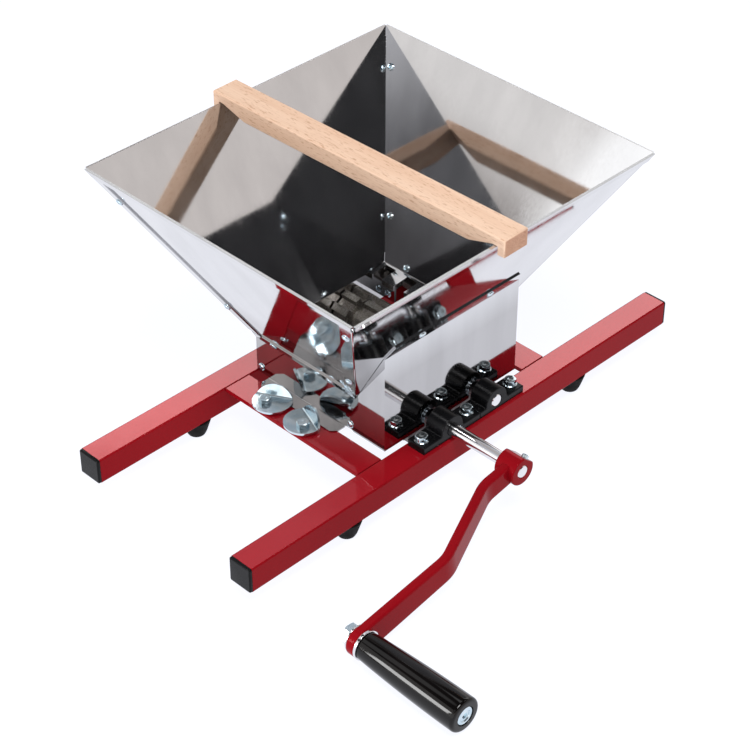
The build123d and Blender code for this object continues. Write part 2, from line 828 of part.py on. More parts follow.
def crank_arm():
    path = FilletPolyline(
        (0, arm_hub_y),
        (-arm_bend_start, arm_hub_y),
        (-arm_bend_end, arm_end_y),
        (-crank_radius, arm_end_y),
        radius=arm_bend_radius,
    )
    arm = Pos(0, 0, -2 * arm_eye_radius) * extrude(trace(path, arm_thickness), 4 * arm_eye_radius)
    side_view = outline(
        (0, arm_hub_width / 2),
        (0, -arm_hub_width / 2),
        (-crank_radius, -arm_eye_radius),
        (-crank_radius, arm_eye_radius),
    )
    arm &= prism_y(side_view, arm_end_front, arm_hub_y + arm_thickness)
    arm = chamfer(arm.faces().filter_by(lambda face: abs(face.normal_at().Z) > 0.9).edges(), arm_edge)
    eye = peg_y(-crank_radius, arm_end_rear, arm_end_front, 0, arm_eye_radius, disc_sides)
    arm += chamfer(eye.faces().filter_by(Axis.Y).edges(), arm_edge)
    boss = peg_y(0, boss_rear, boss_front, 0, boss_radius, disc_sides)
    boss = chamfer(boss.faces().filter_by(Axis.Y).edges(), arm_edge)
    boss -= leaned(slab(-boss_radius, boss_radius, boss_front, boss_rear, boss_flat, 2 * boss_radius))
    arm += boss
    bore = around(shaft_radius + running_clearance, ring_sides)
    arm -= peg_y(0, boss_rear, boss_front, 0, bore, ring_sides)
    bore = handle_bolt_radius + running_clearance
    arm -= peg_y(-crank_radius, arm_end_rear, arm_end_front, 0, bore, head_sides)
    return arm - crank_screw(running_clearance)


def crank_screw(extra):
    y = boss_front + boss_length / 4
    foot_z = shaft_radius + running_clearance
    return leaned(peg_z(0, y, foot_z, boss_flat + set_screw_stand, set_screw_radius + extra))


def handle_grip():
    straight = grip_length - grip_nose
    grip = tapered(grip_root_radius, grip_belly_radius, straight, disc_sides)
    nose_radius = grip_belly_radius - grip_nose
    grip += Pos(0, 0, straight) * tapered(grip_belly_radius, nose_radius, grip_nose, disc_sides)
    seat = grip_length - grip_recess_depth
    grip -= peg_z(0, 0, seat, grip_length, around(handle_head_radius + seat_gap, ring_sides), ring_sides)
    grip -= peg_z(0, 0, 0, seat, around(handle_bolt_radius + running_clearance, ring_sides), ring_sides)
    return Pos(-crank_radius, grip_rear, 0) * Rot(90, 0, 0) * grip


def handle_bolt():
    head_seat = grip_front + grip_recess_depth - seat_gap
    head_front = head_seat - handle_head_height
    tail = arm_end_rear + nut_washer_thickness + handle_nut_height + bolt_tail
    bolt = peg_y(-crank_radius, head_front, head_seat, 0, handle_head_radius, ring_sides)
    return bolt + peg_y(-crank_radius, head_seat, tail, 0, handle_bolt_radius, head_sides)


def handle_washer(y0, y1, radius):
    washer = peg_y(-crank_radius, y0, y1, 0, radius, ring_sides)
    return washer - peg_y(-crank_radius, y0, y1, 0, handle_bolt_radius + running_clearance, head_sides)


def handle_nut():
    low = arm_end_rear + nut_washer_thickness
    high = low + handle_nut_height
    nut = peg_y(-crank_radius, low, high, 0, around(handle_nut_flats / 2, 6), 6)
    return nut - peg_y(-crank_radius, low, high, 0, handle_bolt_radius + running_clearance, head_sides)


grip_washer = handle_washer(arm_end_front - grip_washer_thickness, arm_end_front, grip_washer_radius)
nut_washer = handle_washer(arm_end_rear, arm_end_rear + nut_washer_thickness, nut_washer_radius)
parts["crank_arm"] = crank_turn(crank_arm())
parts["crank_set_screw"] = crank_turn(crank_screw(0))
parts["handle_grip"] = crank_turn(handle_grip())
parts["handle_bolt"] = crank_turn(handle_bolt())
parts["handle_washers"] = [crank_turn(grip_washer), crank_turn(nut_washer)]
parts["handle_nut"] = crank_turn(handle_nut())


# Clamp discs: a round plate with a folded-up finger wing, turning on an off-centre bolt
def clamp_disc(hand):
    # drawn with the bolt at the origin and the fold square to +X
    centre = (disc_hole_back, -hand * disc_hole_side)
    plate = Pos(*centre) * RegularPolygon(disc_radius, disc_sides)
    fold_x = disc_hole_back + disc_fold
    flat = plate - Pos(fold_x + disc_radius, centre[1]) * Rectangle(2 * disc_radius, 2 * disc_radius)
    wing = plate - Pos(fold_x - disc_radius, centre[1]) * Rectangle(2 * disc_radius, 3 * disc_radius)
    flat = Pos(0, 0, disc_bottom) * extrude(flat, disc_thickness)
    wing = extrude(Pos(-fold_x, 0) * wing, disc_thickness)
    wing = Pos(fold_x, 0, disc_bottom) * Rot(0, -disc_fold_angle, 0) * wing
    disc = flat + wing
    disc += peg_z(0, 0, bar_top + seat_gap, disc_bottom, disc_boss_radius, ring_sides)
    bore = around(bolt_radius + running_clearance, ring_sides)
    return disc - peg_z(0, 0, bar_top, disc_top, bore, ring_sides)


def clamp_bolt(x, y):
    seat = disc_top + seat_gap
    head = hex_z(x, y, seat, seat + bolt_head_height, bolt_flats)
    return head + peg_z(x, y, bar_bottom - nut_height - bolt_tail, seat, bolt_radius)


def left_disc(hand, angle):
    y = clamp_y + hand * clamp_bolt_spread / 2
    return Pos(-clamp_bolt_x, y, 0) * Rot(0, 0, angle) * clamp_disc(hand)


def half_turn(shape):
    # the right pair is the left pair turned about the middle of the tabs
    return Pos(0, clamp_y, 0) * Rot(0, 0, 180) * Pos(0, -clamp_y, 0) * shape


parts["left_rear_clamp"] = left_disc(1, rear_disc_angle)
parts["left_front_clamp"] = left_disc(-1, front_disc_angle)
parts["right_front_clamp"] = half_turn(left_disc(1, rear_disc_angle))
parts["right_rear_clamp"] = half_turn(left_disc(-1, front_disc_angle))
clamp_places = [(side * clamp_bolt_x, y) for side in (-1, 1) for y in clamp_bolt_ys]
parts["clamp_bolts"] = [clamp_bolt(x, y) for x, y in clamp_places]
parts["clamp_nuts"] = [bolt_nut(x, y, bar_bottom) for x, y in clamp_places]


# Wooden bar laid across the rim, hooked over it by a notch near each end
def wooden_bar():
    half = wood_length / 2
    bottom = wood_top - wood_height
    notch_top = rim_height + sheet / 2 * math.sin(lean_y) + seat_gap
    rim_half = rim_length / 2
    hem_out = 2 * sheet / math.cos(lean_y)
    bar = Box(wood_width, wood_length, wood_height)
    bar = chamfer(bar.edges(), wood_edge)
    bar = Pos(0, 0, wood_top - wood_height / 2) * bar
    for sign in (-1, 1):
        notch = outline(
            (sign * (rim_half + hem_out + wood_notch_outer), bottom - wood_edge),
            (sign * (rim_half + hem_out + wood_notch_outer), notch_top),
            (sign * (rim_half - wood_notch_inner), notch_top),
            (sign * (rim_half - wood_notch_inner - wood_notch_ramp), bottom - wood_edge),
        )
        bar -= prism_x(notch, -half, half)
    return Pos(wood_x, hopper_y, 0) * Rot(0, 0, wood_skew) * bar


parts["wooden_bar"] = wooden_bar()


# One file per piece; a list is a group of separate solids
os.makedirs("parts", exist_ok=True)
for name, shape in parts.items():
    solids = shape if isinstance(shape, list) else [shape]
    solids = [solid for item in solids for solid in item.solids()]
    export_step(Compound(children=solids, label=name), f"parts/{name}.step")
    print(name, len(solids), "solids", round(sum(s.volume for s in solids), 1))
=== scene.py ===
import json
import math

import bmesh
import bpy
from mathutils import Matrix, Vector

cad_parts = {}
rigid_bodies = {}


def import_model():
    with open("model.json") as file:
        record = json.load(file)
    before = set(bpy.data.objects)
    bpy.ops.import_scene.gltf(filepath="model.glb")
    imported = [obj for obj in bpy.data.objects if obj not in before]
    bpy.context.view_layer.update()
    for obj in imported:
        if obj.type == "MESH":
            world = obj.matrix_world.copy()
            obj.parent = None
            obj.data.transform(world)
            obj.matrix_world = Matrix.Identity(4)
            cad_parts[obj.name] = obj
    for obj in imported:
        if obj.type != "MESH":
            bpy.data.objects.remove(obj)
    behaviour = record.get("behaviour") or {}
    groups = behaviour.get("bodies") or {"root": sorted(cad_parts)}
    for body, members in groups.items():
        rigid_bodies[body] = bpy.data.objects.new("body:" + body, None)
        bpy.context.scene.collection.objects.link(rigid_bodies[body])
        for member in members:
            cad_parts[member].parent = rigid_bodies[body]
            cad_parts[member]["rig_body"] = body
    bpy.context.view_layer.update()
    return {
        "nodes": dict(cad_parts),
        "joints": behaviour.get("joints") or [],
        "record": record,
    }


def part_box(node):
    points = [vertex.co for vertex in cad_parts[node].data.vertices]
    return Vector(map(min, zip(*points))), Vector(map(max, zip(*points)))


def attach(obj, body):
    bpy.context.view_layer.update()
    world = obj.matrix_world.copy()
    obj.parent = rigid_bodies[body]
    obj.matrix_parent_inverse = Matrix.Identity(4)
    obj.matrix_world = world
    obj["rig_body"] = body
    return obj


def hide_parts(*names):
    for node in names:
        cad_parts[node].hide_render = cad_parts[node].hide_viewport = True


# A hand-cranked fruit crusher: painted rails, a polished funnel hopper, toothed rollers, a crank.
# Metres. X runs along the rails, Y along the roller shafts (crank at -Y), Z up from the floor.

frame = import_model()
nodes = frame["nodes"]
joints = {joint["name"]: joint for joint in frame["joints"]}
slot_of = {part["node"]: part["material_slot"] for part in frame["record"]["subparts"]}
MM = 0.001

# Skins: how finely round pieces are made, from which angle an edge is sharp, limits for a normal's Z
ROUND_STEPS = 48
SMALL_STEPS = 24
FINE_STEPS = 96
CORNER_STEPS = 4
SHARP = math.radians(38)
PANEL_SHARP = math.radians(12)
WELD = 0.002 * MM
FLAT = math.radians(1)
EDGE_ANGLE = math.radians(40)
LEANING = 0.1
DOWNWARD = -0.3
TINY = 1e-9

# Edge rounding of the pieces that keep their built shape; edges shorter than LONG_EDGE stay as built
SHEET_EDGE = 0.28 * MM
HEM_EDGE = 0.6 * MM
TUBE_EDGE = 0.5 * MM
CAP_EDGE = 0.6 * MM
WOOD_EDGE = 0.5 * MM
TOOTH_EDGE = 0.55 * MM
GEAR_EDGE = 0.3 * MM
RING_EDGE = 0.2 * MM
LONG_EDGE = 4.0 * MM

# The rim and its folded hem, whose lower edge stands a little off the panel
RIM_BAND = 2.0 * MM
HEM_WIDTH = 9.0 * MM
HEM_OPEN = 0.4 * MM
HEM_TIP = 1.0 * MM

# Seams: the end panels wrap round the side panels' edges, and their flanges lie on the outside
SHEET = 1.2 * MM
SHEET_GAP = 0.1 * MM
STRIP_DEPTH = 0.3 * MM
FLANGE_WIDTH = 13.0 * MM
FLANGE_BELOW_RIM = 8.4 * MM
FLANGE_ABOVE_WALL = 0.6 * MM
FLANGE_LAP = 1.5 * MM
FLANGE_PROUD = 0.02 * MM
FLANGE_BEND = 1.3 * MM

# Rivets
RIVET_HEAD = 1.6 * MM
RIVET_RIM = 0.2 * RIVET_HEAD
RIVET_RADIUS = 3.6 * MM
RIVET_HOLE = 1.15 * MM
RIVET_HOLE_FLOOR = 0.85 * RIVET_HOLE
RIVET_HOLE_DEPTH = 0.9 * MM
RIVET_MANDREL_DEPTH = 0.8 * RIVET_HOLE_DEPTH
RIVET_SHANK = 2.0 * MM
DOME_STEPS = 6

# Bolts, nuts and pins; a hexagon's corners are trimmed by a cone. Bare numbers are shares: HEX_TRIM and
# NUT_FACE of the width across flats, PLAIN_SHANK of the shank's length, the dimple's of the pin's radius
BOLT_RADIUS = 3.0 * MM
BOLT_FLATS = 10.0 * MM
BOLT_HEAD = 4.5 * MM
BOLT_TURN = math.radians(17)
BOLT_FLANGE = 6.4 * MM
BOLT_FLANGE_HEIGHT = 1.5 * MM
BOLT_FLANGE_SLOPE = 0.7 * MM
BOLT_FLANGE_TOP = 0.85 * BOLT_FLANGE_HEIGHT
BOLT_FLANGE_RIM = 0.45 * BOLT_FLANGE_HEIGHT
BOLT_FLANGE_UNDERCUT = 0.1 * MM
DISH_DEPTH = 0.12 * MM
DISH_FLOOR = 0.20 * BOLT_FLATS
DISH_EDGE = 0.24 * BOLT_FLATS
HEAD_FACE = 0.42 * BOLT_FLATS
HEAD_CONE = 0.48 * BOLT_FLATS
HEAD_CONE_DROP = 0.06 * MM
HEX_TRIM = 0.48
HEX_CONE = math.radians(30)
NUT_HEIGHT = 5.0 * MM
NUT_TURN = math.radians(11)
NUT_FACE = 0.46
NUT_BORE_EDGE = 0.4 * MM
PLAIN_SHANK = 0.45
THREAD_PITCH = 1.0 * MM
THREAD_DEPTH = 0.45 * MM
THREAD_ROOT = 0.45 * THREAD_PITCH
THREAD_CREST = 0.9 * THREAD_PITCH
PIN_CHAMFER = 0.3 * MM
GEAR_SCREW_CHAMFER = 0.4 * MM
DIMPLE = 0.45
DIMPLE_FLOOR = 0.4
RUNNING_CLEARANCE = 0.05 * MM

# Feet and their screws
FOOT_TOP = 14.0 * MM
FOOT_EDGE = 9.6 * MM
FOOT_EDGE_HEIGHT = 4.0 * MM
FOOT_BOTTOM = 7.5 * MM
FOOT_RECESS = 4.6 * MM
FOOT_RECESS_DEPTH = 8.0 * MM
FOOT_LIP = 0.8 * MM
FOOT_SCREW_HEAD = 4.0 * MM
FOOT_SCREW_HEIGHT = 2.2 * MM
FOOT_SCREW_FACE = 1.3 * MM
FOOT_SCREW_CORNER = 1.4 * MM
FOOT_SCREW_SHANK = 2.0 * MM
FOOT_SCREW_POINT = 1.5 * MM
FOOT_DRIVE = 1.2 * MM
FOOT_DRIVE_FLOOR = 1.0 * MM
FOOT_DRIVE_DEPTH = 0.9 * MM
FOOT_DRIVE_TIP = 1.1 * MM

# Pillow blocks and shafts
EAR_HEIGHT = 7.0 * MM
EAR_CORNER = 1.0 * MM
EAR_BLEND = 2.5 * MM
BLOCK_EDGE = 0.8 * MM
BLOCK_GAP = 0.1 * MM
ARCH_STEPS = 24
SHAFT_CHAMFER = 0.8 * MM

# Crank, drawn pointing along -X and turned down to its rest angle
CRANK_DROP = math.radians(9.4)
CRANK_REACH = 215.0 * MM
BOSS_RADIUS = 13.3 * MM
BOSS_FLAT = 11.0 * MM
BOSS_LENGTH = 21.0 * MM
BOSS_EDGE = 1.3 * MM
BOSS_BORE = 6.05 * MM
BOSS_BORE_EDGE = 0.5 * MM
ARM_HUB_PLANE = 11.0 * MM
ARM_OFFSET = 31.5 * MM
ARM_BEND_START = 37.0 * MM
ARM_BEND_END = 115.0 * MM
ARM_BEND = 7.0 * MM
ARM_THICKNESS = 9.0 * MM
ARM_HUB_WIDTH = 20.0 * MM
ARM_EDGE = 2.6 * MM
ARM_EYE_RADIUS = 13.0 * MM
ARM_EYE_EDGE = 2.0 * MM
SCREW_LEAN = math.radians(50)
SCREW_SETBACK = 0.75 * BOSS_LENGTH
SCREW_RADIUS = 3.0 * MM
SCREW_POINT = 0.7 * SCREW_RADIUS
SCREW_EDGE = 0.5 * MM
SCREW_STAND = 3.0 * MM
SCREW_SOCKET = 3.4 * MM
SCREW_SOCKET_DEPTH = 2.6 * MM
SCREW_SOCKET_TIP = 3.0 * MM

# Grip
GRIP_ROOT = 12.4 * MM
GRIP_ROOT_DRAFT = 0.2 * MM
GRIP_ROOT_CORNER = 1.2 * MM
GRIP_COLLAR = 4.0 * MM
GRIP_BELLY = 15.5 * MM
GRIP_FULLNESS = 0.9
GRIP_SHOULDER = 7.0 * MM
GRIP_NOSE_FALL = 0.2 * MM
GRIP_NOSE_CORNER = 5.5 * MM
GRIP_BORE_GAP = 0.35 * MM
GRIP_BORE_EDGE = 0.2 * MM
GRIP_BORE_EDGE_DEPTH = 0.4 * MM
GRIP_RECESS = 3.0 * MM
GRIP_STEPS = 64
SWELL_STEPS = 24

# The bolt that the grip turns on: a socket in a dish, a groove, and a ring round it; washers and nut
HANDLE_BOLT_RADIUS = 5.0 * MM
HANDLE_HEAD_RADIUS = 8.5 * MM
HANDLE_HEAD_HEIGHT = 3.0 * MM
HANDLE_HEAD_SUNK = 0.3 * MM
HANDLE_HEAD_DROP = 0.2 * MM
HANDLE_HEAD_CORNER = 1.4 * MM
HANDLE_SOCKET = 5.0 * MM
HANDLE_SOCKET_DEPTH = 1.8 * MM
HANDLE_SOCKET_TIP = 2.0 * MM
HANDLE_DISH = 3.6 * MM
HANDLE_DISH_DEPTH = 0.7 * MM
HANDLE_GROOVE = 5.0 * MM
HANDLE_GROOVE_DEPTH = 0.9 * MM
HANDLE_RING = 5.6 * MM
HANDLE_RING_DROP = 0.1 * MM
HANDLE_NUT_FLATS = 17.0 * MM
WASHER_EDGE = 0.4 * MM

# Clamp discs, drawn with the bolt hole at the origin and the fold towards +X
DISC_RADIUS = 18.0 * MM
DISC_THICKNESS = 2.0 * MM
DISC_FOLD = 7.0 * MM
DISC_FOLD_ANGLE = math.radians(70)
DISC_BEND = 2.2 * MM
DISC_HOLE_BACK = 3.1 * MM
DISC_HOLE_SIDE = 5.9 * MM
DISC_BOSS = 8.0 * MM
DISC_BOSS_LAP = 0.1 * MM
DISC_BOSS_TAPER = 0.4 * MM
DISC_BOSS_SIDE = 1.0 * MM
DISC_BOSS_CORNER = 0.4 * MM
DISC_BOSS_CHAMFER = 0.6 * MM
DISC_BOSS_DEPTH = 1.2 * MM
DISC_ROWS = 48
DISC_ACROSS = 18
REAR_DISC_TURN = math.radians(29.3)
FRONT_DISC_TURN = math.radians(-21.0)

# Finishes that change over a piece: paint on level top faces, painted lighter there as painted light; steel
# between two heights, with painted shade below them
LEVEL = (0.99, 0.999)
SHADED_BELOW = (0.115, 0.140)

# The photograph's camera, in a square frame
CAMERA_PLACE = (-1.07948, -1.07062, 1.20265)
CAMERA_PITCH = math.radians(90 - 37.4154)
CAMERA_TURN = math.radians(-44.8741)
CAMERA_LENS = 102.525
CAMERA_SENSOR = 36

# The studio: directions are met along an axis between a start and a stop, colours are linear
FLOOR_REACH = 12.0
FLOOR_DARK = (0.12, 0.12, 0.12)
FLOOR_LIGHT = (0.14, 0.14, 0.14)
FLOOR_GLOW = 0.90
FLOOR_TINT = (1.0, 1.02, 1.10, 1)
SHADE_GLOW = 0.06
SHADE_PLACE = (0.030, 0.040, 0)
SHADE_REACH = (0.020, 0.085)
BACKDROP_TILT = 0.1
WALL_FRONT = (0.86, 0.80, 0.77)
WALL_BACK = (1.06, 1.03, 1.01)
WALL_TURN = (-0.4, 0.6)
WALL_DIM = (0.50, 0.46, 0.44)
DIM_SIDE = (0.50, 0.65)
DIM_TOP = (-0.290, -0.255)
CEILING = (0.055, 0.055, 0.058)
CEILING_FROM = (0.568, 0.586)
LEFT_LOW = (0.20, 0.20, 0.21)
LEFT_HIGH = (1.0, 1.0, 1.03)
LEFT_SIDE = (0.60, 0.72)
LEFT_RISE = (0.635, 0.685)
WINDOW = (3.2, 3.15, 3.1)
WINDOW_WAY = (0.766, 0.643, 0)
WINDOW_SIDES = (0.69, 0.76)
WINDOW_FOOT = (0.34, 0.38)
WINDOW_TOP = (-0.586, -0.568)
SCREEN = (1.6, 1.6, 1.6)
SCREEN_WAY = (-0.5606, -0.828, 0)
SCREEN_EDGE = (-0.004, 0.012)
SCREEN_SIDE = (0.60, 0.70)
SCREEN_TOP = (-0.45, -0.40)
# Soft patches of the surround: the way they lie, where they start and are full, their colour
SOFTBOXES = [
    ((0.270, 0.355, 0.895), (0.986, 0.994), (1.7, 1.7, 1.7)),
    ((0.620, -0.190, 0.761), (0.975, 0.988), (0.95, 0.95, 0.95)),
    ((-0.209, 0.607, 0.766), (0.975, 0.988), (0.95, 0.95, 0.95)),
]


# Materials
class Finish:
    """One material: a Principled surface, and short ways to make its colour, gloss and relief vary."""

    def __init__(self, name, **constants):
        self.material = bpy.data.materials.new(name)
        self.material.use_nodes = True
        self.tree = self.material.node_tree
        self.surface = self.tree.nodes["Principled BSDF"]
        place = self.tree.nodes.new("ShaderNodeTexCoord")
        self.place = place.outputs["Object"]
        self.normal = place.outputs["Normal"]
        for socket, value in constants.items():
            self.surface.inputs[socket.replace("_", " ")].default_value = value

    def add(self, kind, **inputs):
        node = self.tree.nodes.new(kind)
        for socket, value in inputs.items():
            self.join(node.inputs[socket.replace("_", " ")], value)
        return node

    def join(self, socket, value):
        if isinstance(value, bpy.types.NodeSocket):
            self.tree.links.new(value, socket)
        else:
            socket.default_value = value

    def noise(self, scale, detail=2.0, stretch=(1, 1, 1), distortion=0.0):
        """Noise with so many lumps to a metre, drawn out along an axis by a stretch below 1."""
        moved = self.add("ShaderNodeMapping", Vector=self.place, Scale=stretch)
        made = self.add(
            "ShaderNodeTexNoise", Vector=moved.outputs[0], Scale=scale, Detail=detail, Distortion=distortion
        )
        return made.outputs[0]

    def ranged(self, value, low, high, start=0.35, stop=0.65):
        """A value between start and stop, as one between low and high."""
        limits = {"From_Min": start, "From_Max": stop, "To_Min": low, "To_Max": high}
        return self.add("ShaderNodeMapRange", Value=value, **limits).outputs[0]

    def mixed(self, share, one, other):
        made = self.tree.nodes.new("ShaderNodeMix")
        made.data_type = "RGBA"
        self.join(made.inputs[0], share)
        for socket, value in ((made.inputs[6], one), (made.inputs[7], other)):
            self.join(socket, (*value, 1.0) if isinstance(value, tuple) else value)
        return made.outputs[2]

    def drifting(self, noise, one, other):
        """A colour that drifts from one to another with a noise."""
        return self.mixed(self.ranged(noise, 0, 1), one, other)

    def part(self, vector, axis):
        """One coordinate of a vector."""
        return self.add("ShaderNodeSeparateXYZ", Vector=vector).outputs[axis]

    def total(self, one, other, operation="ADD"):
        made = self.tree.nodes.new("ShaderNodeMath")
        made.operation = operation
        self.join(made.inputs[0], one)
        self.join(made.inputs[1], other)
        return made.outputs[0]

    def colour(self, value):
        self.join(self.surface.inputs["Base Color"], value)

    def roughness(self, value):
        self.join(self.surface.inputs["Roughness"], value)

    def relief(self, height, depth):
        made = self.add("ShaderNodeBump", Height=height, Distance=depth, Strength=1.0)
        self.join(self.surface.inputs["Normal"], made.outputs[0])


def red_paint():
    # powder coat: deep red, glossiest on top, a slow drift of tone and the fine orange peel of the film;
    # level top faces are painted a lighter red than the sides, as painted light
    made = Finish("red_paint", IOR=1.8, Specular_Tint=(1.0, 0.38, 0.40, 1))
    upward = made.part(made.normal, 2)
    drift = made.ranged(made.noise(9), 0, 1)
    # painted light and shade: the sides get a darker red and the level top faces a lighter one
    sides = made.mixed(drift, (0.225, 0.003, 0.007), (0.250, 0.005, 0.009))
    lit_tops = made.mixed(drift, (0.300, 0.004, 0.010), (0.330, 0.006, 0.012))
    made.colour(made.mixed(made.ranged(upward, 0, 1, *LEVEL), sides, lit_tops))
    made.join(made.surface.inputs["Specular IOR Level"], made.ranged(upward, 0.03, 0.62, *LEVEL))
    made.roughness(made.ranged(made.noise(60), 0.05, 0.08))
    made.relief(made.total(made.noise(420), made.noise(1500)), 0.006 * MM)
    return made.material


def polished_steel():
    # bright rolled sheet: a mirror with a faint haze along the rolling and a slight wave,
    # painted darker down by the chamber as painted shade
    made = Finish("polished_steel", Metallic=1.0)
    haze = made.noise(30, 4, (1, 1, 0.12))
    bright = made.drifting(haze, (0.58, 0.58, 0.59), (0.64, 0.64, 0.65))
    # painted shade: a darker steel tone below the chamber's top
    shaded_tone = made.drifting(haze, (0.44, 0.435, 0.44), (0.50, 0.495, 0.50))
    height = made.part(made.place, 2)
    made.colour(made.mixed(made.ranged(height, 0, 1, *SHADED_BELOW), shaded_tone, bright))
    rubbed = made.noise(500, 3, (1, 1, 0.02))
    made.roughness(made.ranged(made.total(haze, rubbed), 0.03, 0.08, 0.7, 1.3))
    made.relief(made.noise(11, 1), 0.13 * MM)
    return made.material


def zinc_plate():
    # passivated zinc: bluish, patchy in gloss, with a fine grain
    made = Finish("zinc_plate", Metallic=1.0)
    patches = made.noise(90, 3)
    tint = made.drifting(patches, (0.50, 0.64, 0.73), (0.68, 0.77, 0.82))
    made.colour(made.mixed(made.ranged(made.noise(35), 0, 0.25), tint, (0.64, 0.64, 0.58)))
    made.roughness(made.ranged(made.noise(220, 3), 0.15, 0.24))
    made.relief(made.noise(1800, 2), 0.003 * MM)
    return made.material


def chromed_steel():
    made = Finish("chromed_steel", Metallic=1.0)
    made.colour(made.drifting(made.noise(40), (0.72, 0.72, 0.74), (0.80, 0.80, 0.81)))
    made.roughness(made.ranged(made.noise(900, 3, (1, 0.03, 1)), 0.05, 0.13))
    made.relief(made.noise(2500, 2, (1, 0.05, 1)), 0.004 * MM)
    return made.material


def cast_aluminium():
    # sand-cast, with dark residue in the grain
    made = Finish("cast_aluminium", Metallic=1.0)
    grain = made.noise(700, 6)
    stain = made.noise(70, 4)
    tone = made.drifting(grain, (0.20, 0.185, 0.165), (0.42, 0.40, 0.37))
    made.colour(made.mixed(made.ranged(stain, 0, 0.55), tone, (0.15, 0.13, 0.11)))
    made.roughness(made.ranged(stain, 0.38, 0.58))
    made.relief(made.total(grain, made.noise(1600, 3)), 0.10 * MM)
    return made.material


def gear_iron():
    made = Finish("gear_iron", Metallic=1.0)
    made.colour(made.drifting(made.noise(160, 5), (0.10, 0.10, 0.105), (0.22, 0.215, 0.21)))
    made.roughness(made.ranged(made.noise(300, 4), 0.28, 0.46))
    made.relief(made.noise(2200, 3), 0.02 * MM)
    return made.material


def black_plastic():
    # moulded nylon with a spark-eroded grain
    made = Finish("black_plastic", IOR=1.5, Specular_IOR_Level=0.13)
    made.colour(made.drifting(made.noise(45), (0.003, 0.003, 0.0035), (0.006, 0.006, 0.007)))
    made.roughness(made.ranged(made.noise(120, 3), 0.20, 0.30))
    made.relief(made.noise(1500, 3), 0.006 * MM)
    return made.material


def black_gloss():
    # polished phenolic: deep black with a lightly rubbed surface
    made = Finish("black_gloss", IOR=1.5, Specular_IOR_Level=0.30)
    made.colour(made.drifting(made.noise(25), (0.002, 0.0016, 0.0016), (0.004, 0.003, 0.003)))
    made.roughness(made.ranged(made.noise(400, 3, (1, 0.1, 1)), 0.05, 0.10))
    made.relief(made.noise(120, 2), 0.015 * MM)
    return made.material


def black_rubber():
    made = Finish("black_rubber", IOR=1.5, Specular_IOR_Level=0.1)
    made.colour(made.drifting(made.noise(150, 4), (0.004, 0.004, 0.004), (0.009, 0.009, 0.009)))
    made.roughness(made.ranged(made.noise(250), 0.6, 0.75))
    made.relief(made.noise(1400, 3), 0.04 * MM)
    return made.material


def beech():
    # planed beech along Y: slow bands of growth, fine pores, the short flecks of its rays, darker end grain
    made = Finish("beech", IOR=1.45, Specular_IOR_Level=0.3)
    bands = made.noise(75, 3, (1, 0.05, 0.6), 0.6)
    fine = made.noise(1400, 2, (1, 0.02, 1))
    flecks = made.noise(900, 1, (1, 0.16, 1))
    tone = made.mixed(made.ranged(bands, 0, 1, 0.3, 0.7), (0.71, 0.470, 0.325), (0.79, 0.572, 0.428))
    tone = made.mixed(made.ranged(fine, 0, 0.3, 0.45, 0.75), tone, (0.555, 0.31, 0.19))
    tone = made.mixed(made.ranged(flecks, 0, 0.6, 0.58, 0.70), tone, (0.46, 0.24, 0.14))
    facing = made.part(made.normal, 1)
    end = made.ranged(made.total(facing, 0.0, "ABSOLUTE"), 0, 1, 0.7, 0.9)
    pores = made.noise(1100, 3)
    grain = made.drifting(pores, (0.40, 0.205, 0.125), (0.56, 0.33, 0.22))
    made.colour(made.mixed(end, tone, grain))
    made.roughness(made.ranged(bands, 0.48, 0.62))
    made.relief(made.total(fine, flecks), 0.03 * MM)
    return made.material


makers = [
    red_paint, polished_steel, zinc_plate, chromed_steel, cast_aluminium,
    gear_iron, black_plastic, black_gloss, black_rubber, beech,
]
finishes = {maker.__name__: maker() for maker in makers}


# Meshes
def shown(bm, name, *stands_for, sharp=SHARP):
    """A finished piece in place of CAD nodes: smooth between sharp edges, riding on their body."""
    bmesh.ops.recalc_face_normals(bm, faces=bm.faces)
    for face in bm.faces:
        face.smooth = True
    for edge in bm.edges:
        edge.smooth = len(edge.link_faces) != 2 or edge.calc_face_angle() < sharp
    mesh = bpy.data.meshes.new(name)
    bm.to_mesh(mesh)
    bm.free()
    piece = bpy.data.objects.new(name, mesh)
    bpy.context.scene.collection.objects.link(piece)
    piece.modifiers.new("weighted", "WEIGHTED_NORMAL").keep_sharp = True
    node = stands_for[0]
    mesh.materials.append(finishes[slot_of[node]])
    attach(piece, nodes[node]["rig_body"])
    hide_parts(*stands_for)
    return piece


def built_shape(node):
    """A welded copy of a CAD node's mesh, its flat faces whole again."""
    bm = bmesh.new()
    bm.from_mesh(nodes[node].data)
    bmesh.ops.remove_doubles(bm, verts=bm.verts, dist=WELD)
    bmesh.ops.dissolve_limit(bm, angle_limit=FLAT, verts=bm.verts, edges=bm.edges)
    return bm


def round_edges(bm, width, segments=2, chosen=lambda edge: True):
    """Rounds the long convex edges that are chosen."""
    edges = []
    for edge in bm.edges:
        if len(edge.link_faces) != 2 or edge.calc_length() < LONG_EDGE or not chosen(edge):
            continue
        if edge.calc_face_angle_signed() > EDGE_ANGLE:
            edges.append(edge)
    bmesh.ops.bevel(
        bm, geom=edges, offset=width, offset_type="OFFSET", segments=segments, profile=0.5,
        affect="EDGES", clamp_overlap=True,
    )


def softened(node, width, segments=2):
    bm = built_shape(node)
    round_edges(bm, width, segments)
    return shown(bm, node + "_finished", node)


